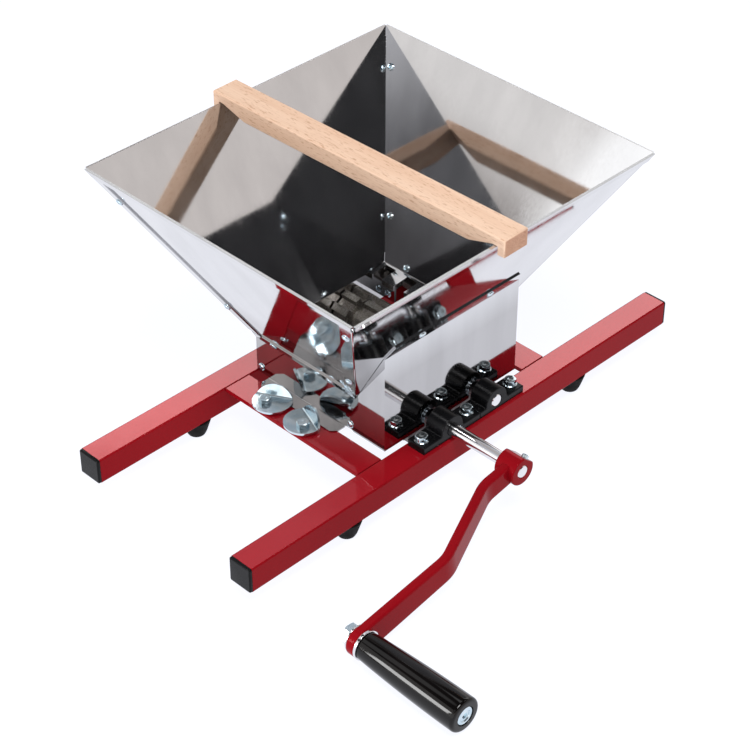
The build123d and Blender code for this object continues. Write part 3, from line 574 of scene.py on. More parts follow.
def solids_of(node):
    """The separate solids of a CAD node: the points of each, and the normal of its widest face."""
    whole = built_shape(node)
    left = set(whole.verts)
    found = []
    while left:
        reached = {left.pop()}
        edge_of_reach = set(reached)
        while edge_of_reach:
            near = {e.other_vert(v) for v in edge_of_reach for e in v.link_edges}
            edge_of_reach = near - reached
            reached |= near
        left -= reached
        faces = {f for v in reached for f in v.link_faces}
        widest = max(faces, key=lambda f: f.calc_area())
        points = [v.co.copy() for v in reached]
        found.append((points, widest.normal.copy()))
    whole.free()
    return sorted(found, key=lambda item: tuple(round(c, 5) for c in middle(item[0])))


def middle(points):
    low = Vector(map(min, zip(*points)))
    high = Vector(map(max, zip(*points)))
    return (low + high) / 2


def along(origin, axis):
    """A frame with its Z along an axis."""
    return Matrix.Translation(origin) @ Vector(axis).to_track_quat("Z", "Y").to_matrix().to_4x4()


def span(points, place):
    """How far points reach along a frame's Z."""
    back = place.inverted()
    heights = [(back @ p).z for p in points]
    return min(heights), max(heights)


def at_angle(value, angle):
    return value(angle) if callable(value) else value


def turned(bm, place, profile, steps=ROUND_STEPS, closed=False):
    """Rings about a frame's Z joined into a skin.

    A ring is (radius, height), numbers or functions of the angle.
    """
    rings = []
    for radius, height in profile:
        if radius == 0:
            rings.append([bm.verts.new(place @ Vector((0, 0, height)))])
            continue
        ring = []
        for k in range(steps):
            angle = 2 * math.pi * k / steps
            r = at_angle(radius, angle)
            point = Vector((r * math.cos(angle), r * math.sin(angle), at_angle(height, angle)))
            ring.append(bm.verts.new(place @ point))
        rings.append(ring)
    pairs = list(zip(rings, rings[1:]))
    if closed:
        pairs.append((rings[-1], rings[0]))
    for low, high in pairs:
        for k in range(steps):
            corners = [low[k % len(low)], low[(k + 1) % steps % len(low)]]
            corners += [high[(k + 1) % steps % len(high)], high[k % len(high)]]
            bm.faces.new(dict.fromkeys(corners))


def joined(bm, one, other):
    """Faces between two rings of as many points."""
    for k in range(len(one)):
        n = (k + 1) % len(one)
        bm.faces.new([one[k], one[n], other[n], other[k]])


def rounded(points, steps=5, closed=False):
    """A polyline with curves for corners: a point (x, y, reach) starts its curve that far before it."""
    made = []
    count = len(points)
    for i, point in enumerate(points):
        corner = Vector(point[:2])
        reach = point[2] if len(point) > 2 else 0
        if reach == 0 or (not closed and i in (0, count - 1)):
            made.append(corner)
            continue
        before = Vector(points[i - 1][:2]) - corner
        after = Vector(points[(i + 1) % count][:2]) - corner
        start = corner + before.normalized() * min(reach, before.length / 2)
        stop = corner + after.normalized() * min(reach, after.length / 2)
        for k in range(steps + 1):
            s = k / steps
            made.append(start * (1 - s) ** 2 + corner * 2 * s * (1 - s) + stop * s ** 2)
    return [tuple(p) for p in made]


def plate(outlines, depth, edge, place, roundness=2):
    """Flat outlines drawn out about a frame's XY plane, with rounded edges.

    An outline inside another is a hole.
    """
    curve = bpy.data.curves.new("plate", "CURVE")
    curve.dimensions = "2D"
    curve.fill_mode = "BOTH"
    curve.extrude = depth / 2 - edge
    curve.bevel_depth = edge
    curve.bevel_resolution = roundness
    curve.offset = -edge
    for outline in outlines:
        spline = curve.splines.new("POLY")
        spline.points.add(len(outline) - 1)
        for point, (x, y) in zip(spline.points, outline):
            point.co = (x, y, 0, 1)
        spline.use_cyclic_u = True
    holder = bpy.data.objects.new("plate", curve)
    bpy.context.scene.collection.objects.link(holder)
    bpy.context.view_layer.update()
    ready = holder.evaluated_get(bpy.context.evaluated_depsgraph_get())
    mesh = bpy.data.meshes.new_from_object(ready)
    bm = bmesh.new()
    bm.from_mesh(mesh)
    bmesh.ops.remove_doubles(bm, verts=bm.verts, dist=WELD)
    bm.transform(place)
    bpy.data.objects.remove(holder)
    bpy.data.curves.remove(curve)
    bpy.data.meshes.remove(mesh)
    return bm


def circle(x, y, radius, steps=ROUND_STEPS):
    angles = [2 * math.pi * k / steps for k in range(steps)]
    return [(x + radius * math.cos(a), y + radius * math.sin(a)) for a in angles]


def hexagon(flats):
    """The reach of a hexagon at an angle, with a corner at angle 0."""
    return lambda angle: flats / 2 / math.cos(angle % (math.pi / 3) - math.pi / 6)


def chamfered(flats, height, down=1):
    """The height of a hexagon's side below the cone that trims its corners."""
    reach = hexagon(flats)
    trim = HEX_TRIM * flats
    return lambda angle: height - down * max(0, reach(angle) - trim) * math.tan(HEX_CONE)


# Fasteners
def rivets(node, outward=0.0):
    """Blind rivets with a ring-shaped head at each end, moved outward from the hopper's middle."""
    bm = bmesh.new()
    for points, axis in solids_of(node):
        centre = middle(points)
        place = along(centre, axis if axis.x * centre.x > 0 else -axis)
        low, high = span(points, place)
        place = place @ Matrix.Translation((0, 0, outward))
        for end, facing in ((high, 1), (-low, -1)):
            seat = end - RIVET_HEAD
            dome = [(RIVET_SHANK, -seat / 2), (RIVET_SHANK, 0), (RIVET_RADIUS, 0), (RIVET_RADIUS, RIVET_RIM)]
            for k in range(1, DOME_STEPS):
                lift = math.pi / 2 * k / DOME_STEPS
                across = RIVET_HOLE + (RIVET_RADIUS - RIVET_HOLE) * math.cos(lift)
                dome.append((across, RIVET_RIM + (RIVET_HEAD - RIVET_RIM) * math.sin(lift)))
            dome += [(RIVET_HOLE, RIVET_HEAD), (RIVET_HOLE_FLOOR, RIVET_HEAD - RIVET_HOLE_DEPTH)]
            dome.append((0, RIVET_HEAD - RIVET_MANDREL_DEPTH))
            flip = Matrix.Rotation(0 if facing > 0 else math.pi, 4, "X")
            turned(bm, place @ flip @ Matrix.Translation((0, 0, seat)), dome, SMALL_STEPS)
    return shown(bm, node + "_finished", node)


def threaded(top, bottom, radius):
    """A screw's shank from top down to a threaded tail."""
    start = top + (bottom - top) * PLAIN_SHANK
    rings = [(radius, top), (radius, start)]
    turns = int((start - bottom - THREAD_PITCH) / THREAD_PITCH)
    for k in range(turns):
        crest = start - k * THREAD_PITCH
        rings += [(radius - THREAD_DEPTH, crest - THREAD_ROOT), (radius, crest - THREAD_CREST)]
    rings += [(radius - THREAD_DEPTH, bottom), (0, bottom)]
    return rings


def hex_bolts(node, head_top_to_seat, flange):
    """Bolts with a hexagon head, on a flange or not, upright in their holes."""
    bm = bmesh.new()
    reach = hexagon(BOLT_FLATS)
    for points, _ in solids_of(node):
        centre = middle(points)
        low = min(p.z for p in points)
        top = max(p.z for p in points)
        place = Matrix.Translation((centre.x, centre.y, 0)) @ Matrix.Rotation(BOLT_TURN, 4, "Z")
        seat = top - head_top_to_seat
        cone = top - HEAD_CONE_DROP
        profile = [(0, top - DISH_DEPTH), (DISH_FLOOR, top - DISH_DEPTH), (DISH_EDGE, top)]
        profile += [(HEAD_FACE, top), (HEAD_CONE, cone)]
        profile += [(reach, chamfered(BOLT_FLATS, cone)), (reach, top - BOLT_HEAD)]
        if flange:
            profile += [(BOLT_FLANGE - BOLT_FLANGE_SLOPE, seat + BOLT_FLANGE_TOP)]
            profile += [(BOLT_FLANGE, seat + BOLT_FLANGE_RIM), (BOLT_FLANGE - BOLT_FLANGE_UNDERCUT, seat)]
        profile += threaded(seat, low, BOLT_RADIUS)
        turned(bm, place, profile)
    return shown(bm, node + "_finished", node)


def hex_nut(bm, place, low, high, flats, bore):
    reach = hexagon(flats)
    face = NUT_FACE * flats
    mouth = bore + NUT_BORE_EDGE
    profile = [(bore, low + NUT_BORE_EDGE), (mouth, low), (face, low)]
    profile += [(reach, chamfered(flats, low, -1)), (reach, chamfered(flats, high))]
    profile += [(face, high), (mouth, high), (bore, high - NUT_BORE_EDGE)]
    turned(bm, place, profile, closed=True)


def upright_nuts(node):
    bm = bmesh.new()
    for points, _ in solids_of(node):
        centre = middle(points)
        place = Matrix.Translation((centre.x, centre.y, 0)) @ Matrix.Rotation(NUT_TURN, 4, "Z")
        low = min(p.z for p in points)
        hex_nut(bm, place, low, low + NUT_HEIGHT, BOLT_FLATS, BOLT_RADIUS)
    return shown(bm, node + "_finished", node)


def pegs(node, chamfer):
    """Upright round pins with chamfered ends and a dimple on top."""
    bm = bmesh.new()
    for points, _ in solids_of(node):
        place = along(middle(points), (0, 0, 1))
        low, high = span(points, place)
        radius = max((place.inverted() @ p).xy.length for p in points)
        profile = [(0, low), (radius - chamfer, low), (radius, low + chamfer), (radius, high - chamfer)]
        profile += [(radius - chamfer, high), (DIMPLE * radius, high)]
        profile += [(DIMPLE_FLOOR * radius, high - chamfer), (0, high - chamfer)]
        turned(bm, place, profile, SMALL_STEPS)
    return shown(bm, node + "_finished", node)


# Frame
def rails():
    for node in ("front_rail", "rear_rail", "left_cross_bar", "right_cross_bar"):
        softened(node, TUBE_EDGE)
    softened("rail_end_caps", CAP_EDGE, 3)


def feet():
    bm = bmesh.new()
    for points, _ in solids_of("rubber_feet"):
        centre = middle(points)
        top = max(p.z for p in points)
        outside = [(FOOT_RECESS, 0, FOOT_LIP), (FOOT_BOTTOM, 0, 2 * FOOT_LIP)]
        outside += [(FOOT_EDGE, FOOT_EDGE_HEIGHT, 3 * FOOT_LIP), (FOOT_TOP, top, FOOT_LIP), (0, top)]
        profile = [(0, FOOT_RECESS_DEPTH), (FOOT_RECESS, FOOT_RECESS_DEPTH)] + rounded(outside)
        turned(bm, Matrix.Translation((centre.x, centre.y, 0)), profile)
    shown(bm, "rubber_feet_finished", "rubber_feet")
    bm = bmesh.new()
    for points, _ in solids_of("foot_screws"):
        centre = middle(points)
        low = min(p.z for p in points)
        top = max(p.z for p in points)
        seat = low + FOOT_SCREW_HEIGHT
        head = [(FOOT_SCREW_FACE, low), (FOOT_SCREW_HEAD, low, FOOT_SCREW_CORNER)]
        head += [(FOOT_SCREW_HEAD, seat), (FOOT_SCREW_SHANK, seat)]
        profile = [(0, low + FOOT_DRIVE_TIP), (FOOT_DRIVE_FLOOR, low + FOOT_DRIVE_DEPTH), (FOOT_DRIVE, low)]
        profile += rounded(head)[1:]
        profile += [(FOOT_SCREW_SHANK, top - FOOT_SCREW_POINT), (0, top)]
        turned(bm, Matrix.Translation((centre.x, centre.y, 0)), profile, SMALL_STEPS)
    shown(bm, "foot_screws_finished", "foot_screws")


# Sheet metal
def skins(node, axis):
    """How far a leaning panel's inner and outer face reach along an axis, as functions of the height."""
    bm = built_shape(node)
    found = []
    for up in (1, -1):
        face = max((f for f in bm.faces if f.normal.z * up > LEANING), key=lambda f: f.calc_area())
        at, slope = face.verts[0].co.copy(), face.normal.z / face.normal[axis]
        found.append(lambda z, at=at, slope=slope: at[axis] - slope * (z - at.z))
    bm.free()
    return found


def seam_flange(bm, side, end, end_skins):
    """A corner of an end panel, bent round the edge of the side panel to lie on its outer face."""
    inner_x, outer_x = skins(side + "_hopper_panel", 0)
    inner_y, outer_y = end_skins
    out_x = 1 if side == "right" else -1
    out_y = 1 if end == "rear" else -1
    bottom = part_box(side + "_wall")[1].z + FLANGE_ABOVE_WALL
    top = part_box(side + "_hopper_panel")[1].z - FLANGE_BELOW_RIM
    rings = []
    for z in (bottom, top):
        near = outer_x(z) + out_x * SHEET_GAP
        far = near + outer_x(z) - inner_x(z)
        lap = inner_x(z) - out_x * FLANGE_LAP
        face, back = inner_y(z) - out_y * FLANGE_PROUD, outer_y(z) + out_y * FLANGE_PROUD
        tip = face - out_y * FLANGE_WIDTH
        section = [(lap, face), (near, face), (near, tip)]
        section += [(far, tip), (far, back, FLANGE_BEND), (lap, back)]
        rings.append([bm.verts.new((x, y, z)) for x, y in rounded(section, closed=True)])
    low, high = rings
    joined(bm, low, high)
    bm.faces.new(low)
    bm.faces.new(high)


def open_hem(bm):
    """Lifts the lower edge of a rim's folded hem a little off the panel."""
    top = max(v.co.z for v in bm.verts)
    rim = [f for f in bm.faces if min(v.co.z for v in f.verts) > top - HEM_WIDTH]
    hem = max((f for f in rim if f.normal.z < DOWNWARD), key=lambda f: f.calc_area())
    low = min(v.co.z for v in hem.verts)
    lift = HEM_OPEN * hem.normal
    for v in hem.verts:
        if v.co.z < low + HEM_TIP:
            v.co += lift


def round_panel(bm, on_rim):
    """Rounds a panel's edges, most at the fold of the rim."""
    round_edges(bm, HEM_EDGE, 4, on_rim)
    round_edges(bm, SHEET_EDGE, 2, lambda edge: not on_rim(edge))


def end_panel(end, on_rim):
    """The built panel without its inner seam strips, with its flanges outside instead."""
    node = end + "_hopper_panel"
    inner, outer = skins(node, 1)
    out_y = 1 if end == "rear" else -1
    bm = built_shape(node)
    open_hem(bm)
    strips = [v for v in bm.verts if (inner(v.co.z) - v.co.y) * out_y > STRIP_DEPTH]
    bmesh.ops.delete(bm, geom=strips, context="VERTS")
    bmesh.ops.holes_fill(bm, edges=[e for e in bm.edges if e.is_boundary], sides=0)
    round_panel(bm, on_rim)
    for side in ("left", "right"):
        seam_flange(bm, side, end, (inner, outer))
    shown(bm, node + "_finished", node, sharp=PANEL_SHARP)


def sheet_metal():
    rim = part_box("right_hopper_panel")[1].z - RIM_BAND

    def on_rim(edge):
        return all(v.co.z > rim for v in edge.verts)

    for end in ("front", "rear"):
        end_panel(end, on_rim)
    for side in ("left", "right"):
        node = side + "_hopper_panel"
        bm = built_shape(node)
        open_hem(bm)
        round_panel(bm, on_rim)
        shown(bm, node + "_finished", node, sharp=PANEL_SHARP)
    for node in ("right_wall", "left_wall", "rear_plate", "inner_plate", "gear_cover"):
        softened(node, SHEET_EDGE)
    rivets("seam_rivets", SHEET + SHEET_GAP)
    for node in ("lip_rivets", "wall_rivets"):
        rivets(node)


# Pillow blocks
def pillow_block(node, shaft_node):
    """A foot arched over its shaft. The right-hand block begins where the left-hand one ends."""
    low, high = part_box(node)
    shaft_low, shaft_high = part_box(shaft_node)
    rod_low, rod_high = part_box("driven_shaft")
    shaft_x = (shaft_low.x + shaft_high.x) / 2
    shaft_z = (rod_low.z + rod_high.z) / 2
    bore = (rod_high.z - rod_low.z) / 2 + RUNNING_CLEARANCE
    barrel = high.z - shaft_z
    ear_top = low.z + EAR_HEIGHT
    left_end = low.x if shaft_node == "drive_shaft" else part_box("front_left_block")[1].x + BLOCK_GAP
    arch = [math.pi * k / ARCH_STEPS for k in range(ARCH_STEPS + 1)]
    outline = [(left_end, low.z), (high.x, low.z), (high.x, ear_top, EAR_CORNER)]
    outline += [(shaft_x + barrel, ear_top, EAR_BLEND)]
    outline += [(shaft_x + barrel * math.cos(a), shaft_z + barrel * math.sin(a)) for a in arch]
    outline += [(shaft_x - barrel, ear_top, EAR_BLEND), (left_end, ear_top, EAR_CORNER)]
    hole = circle(shaft_x, shaft_z, bore)
    place = Matrix.Translation((0, (low.y + high.y) / 2, 0)) @ Matrix.Rotation(math.pi / 2, 4, "X")
    bm = plate([rounded(outline, closed=True), hole], high.y - low.y, BLOCK_EDGE, place)
    shown(bm, node + "_finished", node)


def blocks():
    for end in ("front", "rear"):
        pillow_block(end + "_left_block", "drive_shaft")
        pillow_block(end + "_right_block", "driven_shaft")
    hex_bolts("block_bolts", BOLT_HEAD + BOLT_FLANGE_HEIGHT, True)
    upright_nuts("block_nuts")


# Drive
def shafts():
    for node in ("drive_shaft", "driven_shaft"):
        low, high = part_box(node)
        radius = (high.x - low.x) / 2
        end_radius = radius - SHAFT_CHAMFER
        place = along(((low.x + high.x) / 2, 0, high.z - radius), (0, 1, 0))
        profile = [(0, high.y), (end_radius, high.y), (radius, high.y - SHAFT_CHAMFER)]
        profile += [(radius, low.y + SHAFT_CHAMFER), (end_radius, low.y), (0, low.y)]
        bm = bmesh.new()
        turned(bm, place, profile)
        shown(bm, node + "_finished", node)


def drive():
    shafts()
    for shaft in ("drive", "driven"):
        softened(shaft + "_roller", TOOTH_EDGE)
        softened(shaft + "_gear", GEAR_EDGE)
        softened(shaft + "_shaft_rings", RING_EDGE)
        pegs(shaft + "_roller_pins", PIN_CHAMFER)
        pegs(shaft + "_gear_screw", GEAR_SCREW_CHAMFER)


# Crank
def crank():
    pivot = Vector(joints["crank"]["pos_m"])
    turn = Matrix.Translation((pivot.x, 0, pivot.z)) @ Matrix.Rotation(-CRANK_DROP, 4, "Y")
    boss_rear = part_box("crank_arm")[1].y
    crank_arm(turn, boss_rear)
    set_screw(turn, boss_rear - SCREW_SETBACK)
    low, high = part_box("handle_grip")
    centre = Vector(((low.x + high.x) / 2, 0, (low.z + high.z) / 2))
    place = along(centre, (0, -1, 0))
    handle_grip(place, -high.y, -low.y)
    handle_fittings(place, -low.y)


def swept(bm, place, path, half_heights, half_width, corner):
    """A rounded bar along a path in a frame's XY plane, with a half height for each point of the path."""
    rings = []
    for i, (x, y) in enumerate(path):
        way = Vector(path[min(i + 1, len(path) - 1)]) - Vector(path[max(i - 1, 0)])
        way.normalize()
        w, h = half_width, half_heights[i]
        corners = [(w, h, corner), (-w, h, corner), (-w, -h, corner), (w, -h, corner)]
        section = rounded(corners, steps=6, closed=True)
        rings.append([bm.verts.new(place @ Vector((x - way.y * u, y + way.x * u, v))) for u, v in section])
    for one, other in zip(rings, rings[1:]):
        joined(bm, one, other)
    bm.faces.new(rings[0])
    bm.faces.new(rings[-1])


def crank_arm(turn, boss_rear):
    """A casting: an offset arm, higher towards its eye, and a boss with a flat for the set screw."""
    bm = bmesh.new()
    hub_y = boss_rear - ARM_HUB_PLANE
    end_y = hub_y - ARM_OFFSET
    corners = [(0, hub_y), (-ARM_BEND_START, hub_y, ARM_BEND)]
    corners += [(-ARM_BEND_END, end_y, ARM_BEND), (-CRANK_REACH, end_y)]
    path = rounded(corners, steps=10)
    grow = (ARM_EYE_RADIUS - ARM_HUB_WIDTH / 2) / CRANK_REACH
    heights = [ARM_HUB_WIDTH / 2 - grow * x for x, _ in path]
    swept(bm, turn, path, heights, ARM_THICKNESS / 2, ARM_EDGE)
    upright = Matrix.Rotation(math.pi / 2, 4, "X")
    flat_at = math.pi / 2 - SCREW_LEAN

    def outside(less):
        def reach(angle):
            across = math.cos(angle - flat_at)
            return (BOSS_FLAT / across if across > BOSS_FLAT / BOSS_RADIUS else BOSS_RADIUS) - less
        return reach

    front, rear = BOSS_LENGTH - boss_rear, -boss_rear
    quarter = [math.pi / 2 * k / CORNER_STEPS for k in range(CORNER_STEPS + 1)]
    profile = [(BOSS_BORE, rear + BOSS_BORE_EDGE), (BOSS_BORE + BOSS_BORE_EDGE, rear)]
    for a in quarter:
        profile.append((outside(BOSS_EDGE * (1 - math.sin(a))), rear + BOSS_EDGE * (1 - math.cos(a))))
    for a in quarter:
        profile.append((outside(BOSS_EDGE * (1 - math.cos(a))), front - BOSS_EDGE * (1 - math.sin(a))))
    profile += [(BOSS_BORE + BOSS_BORE_EDGE, front), (BOSS_BORE, front - BOSS_BORE_EDGE)]
    turned(bm, turn @ upright, profile, FINE_STEPS, closed=True)
    bore, half = HANDLE_BOLT_RADIUS + RUNNING_CLEARANCE, ARM_THICKNESS / 2
    eye = [(bore, -half), (ARM_EYE_RADIUS, -half, ARM_EYE_EDGE)]
    eye += [(ARM_EYE_RADIUS, half, ARM_EYE_EDGE), (bore, half)]
    eye_place = turn @ Matrix.Translation((-CRANK_REACH, end_y, 0)) @ upright
    turned(bm, eye_place, rounded(eye, steps=6), closed=True)
    shown(bm, "crank_arm_finished", "crank_arm")


def set_screw(turn, y):
    """A headless screw with a hexagon socket, square to the boss's flat."""
    bm = bmesh.new()
    place = turn @ Matrix.Translation((0, y, 0)) @ Matrix.Rotation(SCREW_LEAN, 4, "Y")
    foot, top = BOSS_BORE, BOSS_FLAT + SCREW_STAND
    socket = hexagon(SCREW_SOCKET)
    profile = [(0, foot), (SCREW_POINT, foot), (SCREW_RADIUS, foot + SCREW_EDGE)]
    profile += [(SCREW_RADIUS, top - SCREW_EDGE), (SCREW_RADIUS - SCREW_EDGE, top), (socket, top)]
    profile += [(socket, top - SCREW_SOCKET_DEPTH), (0, top - SCREW_SOCKET_TIP)]
    turned(bm, place, profile)
    shown(bm, "crank_set_screw_finished", "crank_set_screw")


def handle_grip(place, root, nose):
    """A grip that swells towards its nose, where a recess holds the bolt's head."""
    bore = HANDLE_HEAD_RADIUS + GRIP_BORE_GAP
    swell_from, swell_to = root + GRIP_COLLAR, nose - GRIP_SHOULDER
    collar = [(HANDLE_BOLT_RADIUS, root), (GRIP_ROOT - GRIP_ROOT_DRAFT, root, GRIP_ROOT_CORNER)]
    profile = rounded(collar + [(GRIP_ROOT, swell_from)])
    for k in range(1, SWELL_STEPS + 1):
        s = k / SWELL_STEPS
        swell = GRIP_ROOT + (GRIP_BELLY - GRIP_ROOT) * math.sin(math.pi / 2 * s ** GRIP_FULLNESS)
        profile.append((swell, swell_from + (swell_to - swell_from) * s))
    last = profile[-1][0]
    shoulder = [(last, swell_to), (last, nose - GRIP_NOSE_FALL, GRIP_NOSE_CORNER), (bore, nose)]
    profile += rounded(shoulder, steps=8)[1:]
    mouth, recess = bore - GRIP_BORE_EDGE, nose - GRIP_RECESS
    profile += [(mouth, nose - GRIP_BORE_EDGE_DEPTH), (mouth, recess), (HANDLE_BOLT_RADIUS, recess)]
    bm = bmesh.new()
    turned(bm, place, profile, GRIP_STEPS, closed=True)
    shown(bm, "handle_grip_finished", "handle_grip")


def handle_fittings(place, nose):
    """The bolt through the grip, its washers and its nut."""
    bm = bmesh.new()
    head_low, head_high = nose - HANDLE_HEAD_HEIGHT, nose - HANDLE_HEAD_SUNK
    dish = head_high - HANDLE_DISH_DEPTH
    socket = hexagon(HANDLE_SOCKET)
    tail = -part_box("handle_bolt")[1].y
    profile = [(0, head_high - HANDLE_SOCKET_TIP), (socket, head_high - HANDLE_SOCKET_DEPTH), (socket, dish)]
    profile += [(HANDLE_DISH, dish), (HANDLE_GROOVE, head_high - HANDLE_GROOVE_DEPTH)]
    head = [(HANDLE_RING, head_high - HANDLE_RING_DROP)]
    head += [(HANDLE_HEAD_RADIUS, head_high - HANDLE_HEAD_DROP, HANDLE_HEAD_CORNER)]
    head += [(HANDLE_HEAD_RADIUS, head_low), (HANDLE_BOLT_RADIUS, head_low)]
    profile += rounded(head)
    profile += threaded(head_low, tail, HANDLE_BOLT_RADIUS)[1:]
    turned(bm, place, profile)
    shown(bm, "handle_bolt_finished", "handle_bolt")
    bm = bmesh.new()
    bore = HANDLE_BOLT_RADIUS + RUNNING_CLEARANCE
    for points, _ in solids_of("handle_washers"):
        low, high = span(points, place)
        radius = max((place.inverted() @ p).xy.length for p in points)
        outline = [(bore, low), (radius, low, WASHER_EDGE), (radius, high, WASHER_EDGE), (bore, high)]
        turned(bm, place, rounded(outline), closed=True)
    shown(bm, "handle_washers_finished", "handle_washers")
    bm = bmesh.new()
    low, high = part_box("handle_nut")
    hex_nut(bm, place, -high.y, -low.y, HANDLE_NUT_FLATS, HANDLE_BOLT_RADIUS)
    shown(bm, "handle_nut_finished", "handle_nut")


# Clamps
def clamp_disc(node, joint, hand, turn):
    """A round plate folded up along a chord, with a boss under its off-centre bolt hole."""
    pivot = Vector(joints[joint]["pos_m"])
    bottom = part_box(node)[0].z + DISC_BOSS_DEPTH
    centre_x, centre_y = DISC_HOLE_BACK, -hand * DISC_HOLE_SIDE
    place = Matrix.Translation((pivot.x, pivot.y, bottom)) @ Matrix.Rotation(turn, 4, "Z")
    bend_middle = DISC_BEND + DISC_THICKNESS / 2
    bend_start = centre_x + DISC_FOLD - bend_middle * math.tan(DISC_FOLD_ANGLE / 2)

    def folded(u, lift):
        """Where a point of the flat plate lies once it is folded, along X and up."""
        past = u - bend_start
        if past <= 0:
            return u, lift
        arc = bend_middle * DISC_FOLD_ANGLE
        angle = min(past, arc) / bend_middle
        radius = bend_middle + DISC_THICKNESS / 2 - lift
        x = bend_start + radius * math.sin(angle)
        z = bend_middle + DISC_THICKNESS / 2 - radius * math.cos(angle)
        rest = max(0, past - arc)
        return x + rest * math.cos(angle), z + rest * math.sin(angle)

    bm = bmesh.new()
    sheets = []
    for lift in (0, DISC_THICKNESS):
        grid = []
        for i in range(DISC_ROWS + 1):
            u = -math.cos(math.pi * i / DISC_ROWS) * DISC_RADIUS
            half = math.sqrt(max(0, DISC_RADIUS ** 2 - u ** 2))
            x, z = folded(centre_x + u, lift)
            spread = [-math.cos(math.pi * j / DISC_ACROSS) for j in range(DISC_ACROSS + 1)]
            if half < TINY:
                spread = [0]
            grid.append([bm.verts.new(place @ Vector((x, centre_y + half * v, z))) for v in spread])
        sheets.append(grid)
        for one, other in zip(grid, grid[1:]):
            for j in range(DISC_ACROSS):
                corners = [one[min(j, len(one) - 1)], one[min(j + 1, len(one) - 1)]]
                corners += [other[min(j + 1, len(other) - 1)], other[min(j, len(other) - 1)]]
                bm.faces.new(dict.fromkeys(corners))
    lower, upper = sheets
    for end in (0, -1):
        for i in range(DISC_ROWS):
            bm.faces.new([lower[i][end], lower[i + 1][end], upper[i + 1][end], upper[i][end]])
    boss = [(0, DISC_BOSS_LAP), (DISC_BOSS - DISC_BOSS_TAPER, DISC_BOSS_LAP)]
    boss += [(DISC_BOSS, -DISC_BOSS_SIDE, DISC_BOSS_CORNER)]
    boss += [(DISC_BOSS - DISC_BOSS_CHAMFER, -DISC_BOSS_DEPTH), (0, -DISC_BOSS_DEPTH)]
    turned(bm, place, rounded(boss))
    shown(bm, node + "_finished", node)


def clamps():
    clamp_disc("left_rear_clamp", "left_rear_clamp_turn", 1, REAR_DISC_TURN)
    clamp_disc("left_front_clamp", "left_front_clamp_turn", -1, FRONT_DISC_TURN)
    clamp_disc("right_front_clamp", "right_front_clamp_turn", 1, REAR_DISC_TURN + math.pi)
    clamp_disc("right_rear_clamp", "right_rear_clamp_turn", -1, FRONT_DISC_TURN + math.pi)
    hex_bolts("clamp_bolts", BOLT_HEAD, False)
    upright_nuts("clamp_nuts")


# Wood
def wooden_bar():
    softened("wooden_bar", WOOD_EDGE, 3)


rails()
feet()
sheet_metal()
blocks()
drive()
crank()
clamps()
wooden_bar()


# Stage: a pale lit floor in shade below the chamber, a bright surround with a window at the back
# and a dark ceiling, two soft lights and the camera
def floor():
    mesh = bpy.data.meshes.new("floor")
    r = FLOOR_REACH
    mesh.from_pydata([(-r, -r, 0), (r, -r, 0), (r, r, 0), (-r, r, 0)], [], [(0, 1, 2, 3)])
    sheet = bpy.data.objects.new("floor", mesh)
    bpy.context.scene.collection.objects.link(sheet)
    made = Finish("floor", Roughness=0.9, Specular_IOR_Level=0.0, Emission_Color=FLOOR_TINT)
    away = made.add("ShaderNodeVectorMath")
    away.operation = "DISTANCE"
    made.join(away.inputs[0], made.place)
    made.join(away.inputs[1], SHADE_PLACE)
    glow = made.ranged(away.outputs["Value"], SHADE_GLOW, FLOOR_GLOW, *SHADE_REACH)
    made.join(made.surface.inputs["Emission Strength"], glow)
    made.colour(made.mixed(made.noise(3), FLOOR_DARK, FLOOR_LIGHT))
    mesh.materials.append(made.material)


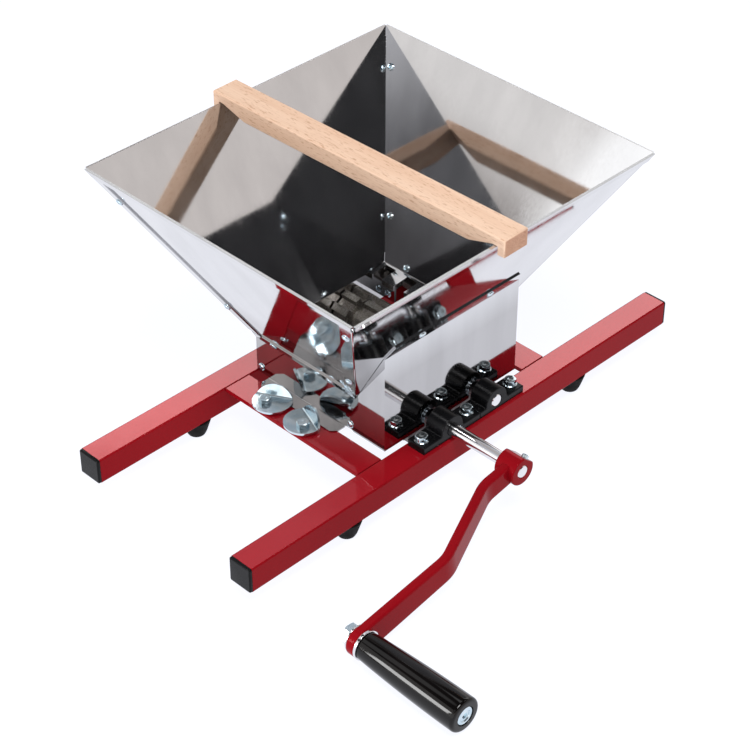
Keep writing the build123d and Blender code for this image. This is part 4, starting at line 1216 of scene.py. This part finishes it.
def surround():
    world = bpy.data.worlds.new("studio")
    bpy.context.scene.world = world
    world.use_nodes = True
    tree = world.node_tree
    direction = tree.nodes.new("ShaderNodeTexCoord").outputs["Generated"]

    def reach(axis, start, stop):
        """1 where the direction reaches past stop along an axis, 0 before start."""
        dot = tree.nodes.new("ShaderNodeVectorMath")
        dot.operation = "DOT_PRODUCT"
        dot.inputs[1].default_value = axis
        tree.links.new(direction, dot.inputs[0])
        made = tree.nodes.new("ShaderNodeMapRange")
        made.interpolation_type = "SMOOTHSTEP"
        tree.links.new(dot.outputs["Value"], made.inputs[0])
        made.inputs[1].default_value = start
        made.inputs[2].default_value = stop
        return made.outputs[0]

    def product(one, other):
        made = tree.nodes.new("ShaderNodeMath")
        made.operation = "MULTIPLY"
        tree.links.new(one, made.inputs[0])
        tree.links.new(other, made.inputs[1])
        return made.outputs[0]

    def mixed(share, one, other):
        made = tree.nodes.new("ShaderNodeMix")
        made.data_type = "RGBA"
        tree.links.new(share, made.inputs[0])
        for socket, value in ((made.inputs[6], one), (made.inputs[7], other)):
            if isinstance(value, bpy.types.NodeSocket):
                tree.links.new(value, socket)
            else:
                socket.default_value = (*value, 1)
        return made.outputs[2]

    height = (0, -BACKDROP_TILT, 1)
    up, down, left = (0, 0, 1), (0, 0, -1), (-1, 0, 0)
    wall = mixed(reach((0, 1, 0), *WALL_TURN), WALL_FRONT, WALL_BACK)
    wall = mixed(product(reach(left, *DIM_SIDE), reach(down, *DIM_TOP)), wall, WALL_DIM)
    ceiling = mixed(reach(left, *LEFT_SIDE), CEILING, mixed(reach(up, *LEFT_RISE), LEFT_LOW, LEFT_HIGH))
    room = mixed(reach(height, *CEILING_FROM), wall, ceiling)
    screen = product(reach(SCREEN_WAY, *SCREEN_EDGE), reach(left, *SCREEN_SIDE))
    room = mixed(product(screen, reach(down, *SCREEN_TOP)), room, SCREEN)
    window = product(reach((0, BACKDROP_TILT, -1), *WINDOW_TOP), reach(height, *WINDOW_FOOT))
    room = mixed(product(window, reach(WINDOW_WAY, *WINDOW_SIDES)), room, WINDOW)
    for way, edge, colour in SOFTBOXES:
        room = mixed(reach(way, *edge), room, colour)
    tree.links.new(room, tree.nodes["Background"].inputs[0])


def soft_light(name, place, aim, size, power):
    data = bpy.data.lights.new(name, "AREA")
    data.shape = "RECTANGLE"
    data.size = size
    data.size_y = size
    data.energy = power
    lamp = bpy.data.objects.new(name, data)
    lamp.location = place
    lamp.rotation_euler = (Vector(aim) - Vector(place)).to_track_quat("-Z", "Y").to_euler()
    lamp.visible_camera = False
    bpy.context.scene.collection.objects.link(lamp)


def camera():
    data = bpy.data.cameras.new("camera")
    data.lens = CAMERA_LENS
    data.sensor_width = CAMERA_SENSOR
    eye = bpy.data.objects.new("camera", data)
    eye.location = CAMERA_PLACE
    eye.rotation_euler = (CAMERA_PITCH, 0, CAMERA_TURN)
    bpy.context.scene.collection.objects.link(eye)
    bpy.context.scene.camera = eye


floor()
surround()
soft_light("key", place=(-0.75, -0.95, 2.5), aim=(0, 0, 0.1), size=1.0, power=50)
soft_light("edge", place=(-0.76, 0.06, 0.19), aim=(0.09, -0.36, 0.03), size=0.18, power=1.6)
camera()
bpy.context.scene.view_settings.view_transform = "Standard"
